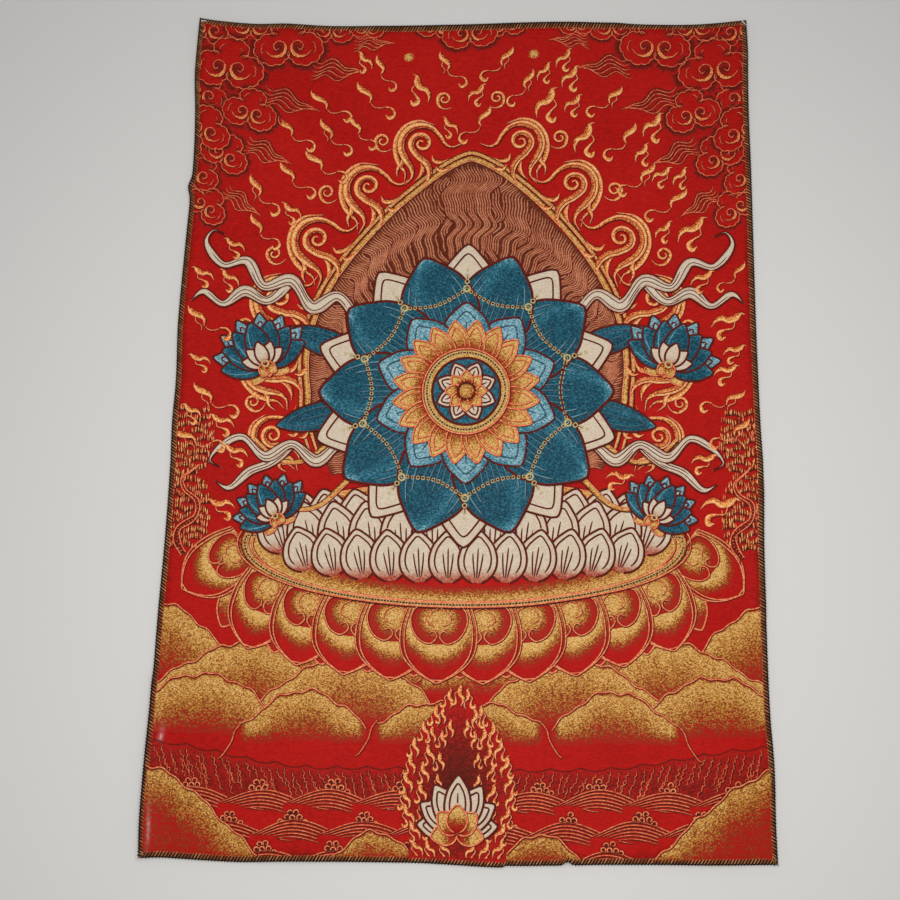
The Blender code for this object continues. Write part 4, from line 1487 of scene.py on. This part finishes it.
# Section of the overlocked band, in mm: distance in from the cut edge, and forwards from the cloth's middle
BAND_SECTION = ((5.3, 0.60), (5.1, 0.92), (3.0, 1.02), (1.0, 1.00), (0.25, 0.62), (0.05, 0.0), (0.25, -0.62),
                (1.0, -1.00), (3.0, -1.02), (5.1, -0.92), (5.3, -0.60))
# A thread that wraps the edge, in mm: along the edge, in from it, and forwards
WRAP = ((2.3, 5.2, 0.82), (1.0, 3.4, 1.26), (-0.5, 1.0, 1.22), (-0.9, -0.25, 0.0), (-0.5, 1.0, -1.22),
        (1.0, 3.4, -1.26), (2.3, 5.2, -0.85))
INNER_WRAP = ((2.9, 6.2, 0.78), (1.5, 4.2, 1.30), (0.2, 2.2, 1.18), (-0.4, 1.3, 0.50), (-0.7, 0.7, 0.0),
              (-0.4, 1.3, -0.50), (0.2, 2.2, -1.18), (2.3, 5.2, -0.85))
NEEDLE = ((0.9, 5.5, 0.62), (0.1, 5.8, 1.05), (-0.7, 5.6, 0.66))
STITCH_PITCH = 3.2
WIDER, WIDER_FROM, WIDER_TO = 0.36, -150, 188        # the band is wider by this share along part of the top edge


def edge_line(step, start=0.0):
    """Closed line round the cut edge: its points and, at each, the way inwards, the way out of the face, and how
    much wider than elsewhere the band is."""
    margin, reach = 0.3, 6               # from the cut edge, and how far in the band's inner side is looked for
    corners = np.array(((-1, 0), (1, 0), (1, -1), (-1, -1), (-1, 0))) * (HALF - margin, TALL - 2 * margin) - (0, margin)
    places = np.roll(even(corners, step)[:-1], -round(start / step), axis=0)
    inner = np.clip(places, (reach - HALF, reach - TALL), (HALF - reach, -reach))
    edge, within = (on_cloth(*cloth_shares(line), np.zeros(len(line))) for line in (places, inner))
    inwards = (within - edge) / np.linalg.norm(within - edge, axis=1)[:, None]
    x = places[:, 0]
    wider = WIDER * smoothstep((x - WIDER_FROM) / 70) * smoothstep((WIDER_TO - x) / 45) * (places[:, 1] > -1)
    return edge, inwards, facing(*cloth_shares(inner)), 1 + wider


def edge_stitch_tree():
    """Geometry nodes that lay one thread after another round the edge."""
    tree, given = new_group(
        "edge stitches", "GeometryNodeTree",
        (("Edge", "Geometry"), ("Stitch", "Object"), ("Pitch", "Float"), ("Thread radius", "Float"),
         ("Thread", "Material"), ("Seed", "Int")), (("Stitches", "Geometry"),))

    def node(kind, inputs=None, **settings):
        return add_node(tree, kind, inputs, **settings).outputs[0]

    line = node("GeometryNodeMeshToCurve", {"Mesh": given["Edge"]})
    spaced = node("GeometryNodeResampleCurve", {"Curve": line, "Length": given["Pitch"]}, mode="LENGTH")
    inwards, forwards = (node("GeometryNodeInputNamedAttribute", {"Name": name}, data_type="FLOAT_VECTOR")
                         for name in ("inwards", "forwards"))
    wide = node("GeometryNodeInputNamedAttribute", {"Name": "wide"}, data_type="FLOAT")
    stretch = node("ShaderNodeCombineXYZ", {"X": 1.0, "Y": wide, "Z": 1.0})
    turn = node("FunctionNodeAxesToRotation", {0: forwards, 1: inwards}, primary_axis="Z", secondary_axis="Y")
    path = add_node(tree, "GeometryNodeObjectInfo", {"Object": given["Stitch"]}).outputs["Geometry"]
    section = node("GeometryNodeCurvePrimitiveCircle", {"Resolution": 4, "Radius": given["Thread radius"]})
    thread = node("GeometryNodeCurveToMesh", {"Curve": node("GeometryNodeMeshToCurve", {"Mesh": path}),
                                              "Profile Curve": section, "Fill Caps": True})
    wraps = node("GeometryNodeInstanceOnPoints", {"Points": spaced, "Instance": thread, "Rotation": turn,
                                                  "Scale": stretch})
    chance = add_node(tree, "FunctionNodeRandomValue", {"Seed": given["Seed"]}, data_type="FLOAT").outputs[1]
    shaded = node("GeometryNodeStoreNamedAttribute", {"Geometry": wraps, "Name": "tone", "Value": chance},
                  data_type="FLOAT", domain="INSTANCE")
    smooth = node("GeometryNodeSetShadeSmooth", {0: node("GeometryNodeRealizeInstances", {0: shaded})})
    coloured = node("GeometryNodeSetMaterial", {"Geometry": smooth, "Material": given["Thread"]})
    add_node(tree, "NodeGroupOutput", {"Stitches": coloured})
    return tree


def path_mesh(name, points, closed=False):
    """Mesh of edges alone, through points in metres."""
    mesh = bpy.data.meshes.new(name)
    count = len(points)
    edges = [(k, (k + 1) % count) for k in range(count if closed else count - 1)]
    mesh.from_pydata([tuple(point) for point in points], edges, [])
    return add_object(name, mesh)


def edge_stitches(name, tree, stitch, start, radius, material, seed):
    """Threads all round the edge, made by the nodes and turned into a plain mesh."""
    points, inwards, forwards, wide = edge_line(STITCH_PITCH / 2, start)
    line = path_mesh("edge line", points, closed=True)
    for key, kind, field, given in (("inwards", "FLOAT_VECTOR", "vector", inwards),
                                    ("forwards", "FLOAT_VECTOR", "vector", forwards), ("wide", "FLOAT", "value", wide)):
        line.data.attributes.new(key, kind, "POINT").data.foreach_set(field, given.astype(np.float32).ravel())
    shape = path_mesh("stitch path", np.array(stitch) * MM)
    modifier = line.modifiers.new("stitches", "NODES")
    modifier.node_group = tree
    values = {"Stitch": shape, "Pitch": STITCH_PITCH * MM, "Thread radius": radius * MM, "Thread": material,
              "Seed": seed}
    for item in tree.interface.items_tree:
        if item.in_out == "INPUT" and item.name in values:
            modifier[item.identifier] = values[item.name]
    ready = line.evaluated_get(bpy.context.evaluated_depsgraph_get())
    threads = add_object(name, bpy.data.meshes.new_from_object(ready))
    threads.data.materials.clear()
    threads.data.materials.append(material)
    threads.data.polygons.foreach_set("material_index", np.zeros(len(threads.data.polygons), np.int32))
    for spare in (line, shape):
        bpy.data.objects.remove(spare)
    return threads


def thread_material(name, *stops):
    """Twisted sewing thread: a shade for each stitch, with fine slanting plies."""
    material, tree, shader, coordinates = principled(name)
    shade = weighted(tree, tone_of(tree), 0.6, noise(tree, coordinates, 900.0, 2.0), 0.4)
    turned = add_node(tree, "ShaderNodeMapping", {"Vector": coordinates, "Rotation": (0.6, 0.6, 0.6)}).outputs[0]
    plies = add_node(tree, "ShaderNodeTexWave", {"Vector": turned, "Scale": 620.0, "Distortion": 1.5}).outputs["Fac"]
    surface(tree, shader, ramp(tree, shade, stops), (0.5, 0.1, plies), {"Roughness": 0.7, "Specular IOR Level": 0.2})
    return material


def make_overlock():
    """The overlocked edge: a dark band, threads wrapped round it in two shades, and the needle line."""
    edge, inwards, forwards, wide = edge_line(3.0)
    section = np.array(BAND_SECTION) * MM
    points = (edge[:, None] + (inwards * wide[:, None])[:, None] * section[None, :, :1]
              + forwards[:, None] * section[None, :, 1:])
    rows, columns = points.shape[:2]
    faces = grid_faces(rows + 1, columns, wrap=True) % (rows * columns)
    # darker towards the rolled cut edge, partly painted shade where the band turns away there; further in, the red
    # cloth shows between the threads
    red_showing_and_shade = np.tile(smoothstep((section[:, 0] / MM - 1.0) / 3.6), rows)
    dark_band = thread_material("dark band", (0.12, 32, 16, 8), (0.4, 64, 22, 12), (0.75, 126, 26, 16))
    base = make_mesh("overlock_band", points.reshape(-1, 3), faces[:, ::-1], (dark_band,), red_showing_and_shade)
    tree = edge_stitch_tree()
    late = STITCH_PITCH / 2
    threads = (
        # piece         path        start radius seed  material             its colours
        ("dark_wraps",  WRAP,       0.0,  0.50,  3, "dark thread",      (0.2, 16, 9, 3), (0.6, 40, 24, 10),
         (0.9, 64, 40, 18)),
        ("gold_wraps",  INNER_WRAP, late, 0.38,  5, "dull gold thread", (0.15, 128, 84, 40), (0.5, 188, 130, 72),
         (0.9, 236, 188, 126)),
        ("needle_line", NEEDLE,     late, 0.42,  7, "needle thread",    (0.2, 120, 44, 28), (0.8, 186, 100, 68)),
    )
    return [base] + [edge_stitches(name, tree, path, start, radius, thread_material(*looks), seed)
                     for name, path, start, radius, seed, *looks in threads]


def make_figures():
    """One piece for each weft colour."""
    limit = np.array(((EDGE_LIMIT - HALF, EDGE_LIMIT - TALL), (HALF - EDGE_LIMIT, -EDGE_LIMIT)))
    pieces = []
    for weft, (name, *looks) in WEFTS.items():
        shapes = [shape for shape in SHAPES if shape["weft"] == weft and len(shape["faces"])]
        starts = np.cumsum([0] + [len(shape["places"]) for shape in shapes])
        places, heights, tones = (np.concatenate([shape[key] for shape in shapes])
                                  for key in ("places", "heights", "tones"))
        faces = np.vstack([shape["faces"] + start for shape, start in zip(shapes, starts)])
        out = ((places < limit[0]) | (places > limit[1])).any(1) | (tones < (THINNEST if weft == "gold" else -1.0))
        faces = faces[~out[faces].all(1)]
        used, faces = np.unique(faces, return_inverse=True)
        places, tones = np.clip(places[used], *limit), tones[used]
        heights = heights[used] * (0.35 + 0.65 * smoothstep((inset_of(places) - PRESSED) / PRESSED_FADE))
        if weft == "gold":               # thinned out fields sink into the cloth instead of ending in a step
            thinned = 1 - smoothstep((tones - THINNEST) / 0.08)
            heights = heights * (1 - thinned) - 0.06 * thinned
        # the gold weft carries the pale streaks low on the left: a scuff with painted sheen, and a painted highlight on
        # the curled edge
        material = weft_material(*looks, worn_and_sheen=weft == "gold")
        piece = make_mesh(name, on_face(places, heights), faces.reshape(-1, 4), (material,), tones)
        flat_map(piece, places)
        pieces.append(piece)
    return pieces


def staple_material():
    """Wire in near-white with hardly any metal, a painted highlight that stands in for the glint on galvanised steel,
    with fine drawn lines along it.
    """
    material, tree, shader, coordinates = principled("wire with painted highlight")
    drawn = noise(tree, coordinates, 1400.0, 3.0)
    # the near-white colour is a painted highlight on the wire
    surface(tree, shader, ramp(tree, drawn, ((0.3, 244, 242, 240), (0.7, 254, 253, 251))), (0.3, 0.05, drawn),
            {"Roughness": remapped(tree, drawn, To_Min=0.22, To_Max=0.42), "Metallic": 0.06})
    return material


def make_tufts():
    """Pale thread ends where the edge is nicked, and at two corners."""
    places = (
        # x      y       count reach
        (106.6, -894.5,  46,   5.2),
        (-309.0, -896.5, 6,    4.0),
        (308.5, -896.5,  5,    3.5),
    )
    ring = arc(0, 270, 0.24 * MM, count=4)
    section = np.stack((ring[:, 0], ring[:, 1], ring[:, 1] * 0.3), -1)
    t = np.linspace(0, 1, 6)[:, None]
    points, faces, tones = [], [], []
    for x, y, count, reach in places:
        for _ in range(count):
            way = np.radians(DRAWS.uniform(205, 335))
            bend = DRAWS.uniform(-0.5, 0.5)
            ahead = np.array((math.cos(way), math.sin(way)))
            line = np.array((x + DRAWS.uniform(-3, 3), y)) + reach * (ahead * t + ahead[::-1] * (-1, 1) * bend * t * t)
            spine = on_cloth(*cloth_shares(line), 0.6 * MM + 0.5 * MM * t[:, 0] * DRAWS.uniform(-1, 1))
            tube = spine[:, None] + section[None] * (1.05 - t[:, None])
            faces.append(grid_faces(len(t), len(ring), wrap=True) + len(t) * len(ring) * len(points))
            points.append(tube.reshape(-1, 3))
            tones.append(np.full(len(points[-1]), DRAWS.uniform(0.3, 1.0)))
    material = thread_material("loose thread", (0.2, 176, 164, 150), (0.8, 236, 232, 226))
    return make_mesh("thread_ends", np.vstack(points), np.vstack(faces), (material,), np.concatenate(tones))


# ---------------------------------------------------------------- stage, light and camera

def plain(name, colour, roughness):
    """Plain material for the stage."""
    material, tree, shader, _ = principled(name)
    set_inputs(tree, shader, {"Base Color": (*srgb(*colour), 1.0), "Roughness": roughness})
    return material


def make_stage():
    """Pale backdrop just behind the cloth, clear from behind so that the cloth's back can be seen, and a pale floor."""
    wall_y, floor_z, top, side, deep = 0.0035, -1.30, 1.6, 2.5, 3
    material = plain("pale backdrop", (226, 225, 222), 0.9)
    tree = material.node_tree
    clear = add_node(tree, "ShaderNodeBsdfTransparent").outputs[0]
    behind = add_node(tree, "ShaderNodeNewGeometry").outputs["Backfacing"]
    mix = add_node(tree, "ShaderNodeMixShader", {0: behind, 1: tree.nodes["Principled BSDF"].outputs[0], 2: clear})
    set_inputs(tree, tree.nodes["Material Output"], {"Surface": mix.outputs[0]})
    backdrop = make_mesh("backdrop", [(x, wall_y, z) for x, z in ((-side, floor_z), (side, floor_z), (side, top),
                                                                  (-side, top))], [range(4)], (material,), smooth=False)
    backdrop.visible_diffuse = backdrop.visible_glossy = backdrop.visible_shadow = False     # lets light reach the back
    floor = make_mesh("floor", [(x * deep, y * deep, floor_z) for x, y in ((-1, -1), (1, -1), (1, 1), (-1, 1))],
                      [range(4)], (plain("pale floor", (216, 214, 210), 0.8),), smooth=False)


def make_light():
    """Plain soft studio light: a dim room, and a square light aimed low in the middle of the cloth."""
    world = bpy.data.worlds.new("soft room")
    world.use_nodes = True
    set_inputs(world.node_tree, world.node_tree.nodes["Background"],
               {"Color": (*srgb(236, 236, 240), 1.0), "Strength": 0.42})
    bpy.context.scene.world = world
    lamp = bpy.data.lights.new("front light", "AREA")
    lamp.shape, lamp.size, lamp.energy, lamp.color = "SQUARE", 0.9, 7.6, (1.0, 0.985, 0.96)
    light = add_object("front light", lamp)
    light.location, target = (0.03, -1.0, -0.58), (0.0, 0.0, -0.50)
    light.rotation_euler = (Vector(target) - light.location).to_track_quat("-Z", "Y").to_euler()


CAMERA_AT = (-0.0047, -0.8937, -0.6342)
CAMERA_PITCH, CAMERA_YAW, CAMERA_ROLL = 9.184, 0.673, 0.987
CAMERA_FOCAL_PIXELS, IMAGE_PIXELS, SENSOR = 867.0, 900.0, 36.0


def make_camera():
    """Camera at the photograph's viewing angle, fitted to the panel's four corners."""
    data = bpy.data.cameras.new("camera")
    data.sensor_width = SENSOR
    data.lens = CAMERA_FOCAL_PIXELS / IMAGE_PIXELS * SENSOR
    data.clip_start = 0.01
    camera = add_object("camera", data)
    camera.location = CAMERA_AT
    turn = Euler((math.radians(90 + CAMERA_PITCH), 0.0, math.radians(CAMERA_YAW)), "XYZ").to_matrix()
    roll = Euler((0.0, 0.0, math.radians(CAMERA_ROLL)), "XYZ").to_matrix()
    camera.rotation_euler = (turn @ roll).to_euler()
    bpy.context.scene.camera = camera


# ---------------------------------------------------------------- build

make_camera()
make_stage()
make_light()
bpy.context.scene.view_settings.view_transform = "Standard"

draw_figure()
weave_strokes()
ground = make_ground()
figures = make_figures()
overlock = make_overlock()
trimmings = figures + overlock + [make_tufts()]
for staple in ("staple_left", "staple_right"):
    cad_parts[staple].material_slots[0].material = staple_material()

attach(ground, "root")
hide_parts("panel")
for piece in trimmings:
    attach(piece, "root")
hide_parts("overlock_edge")
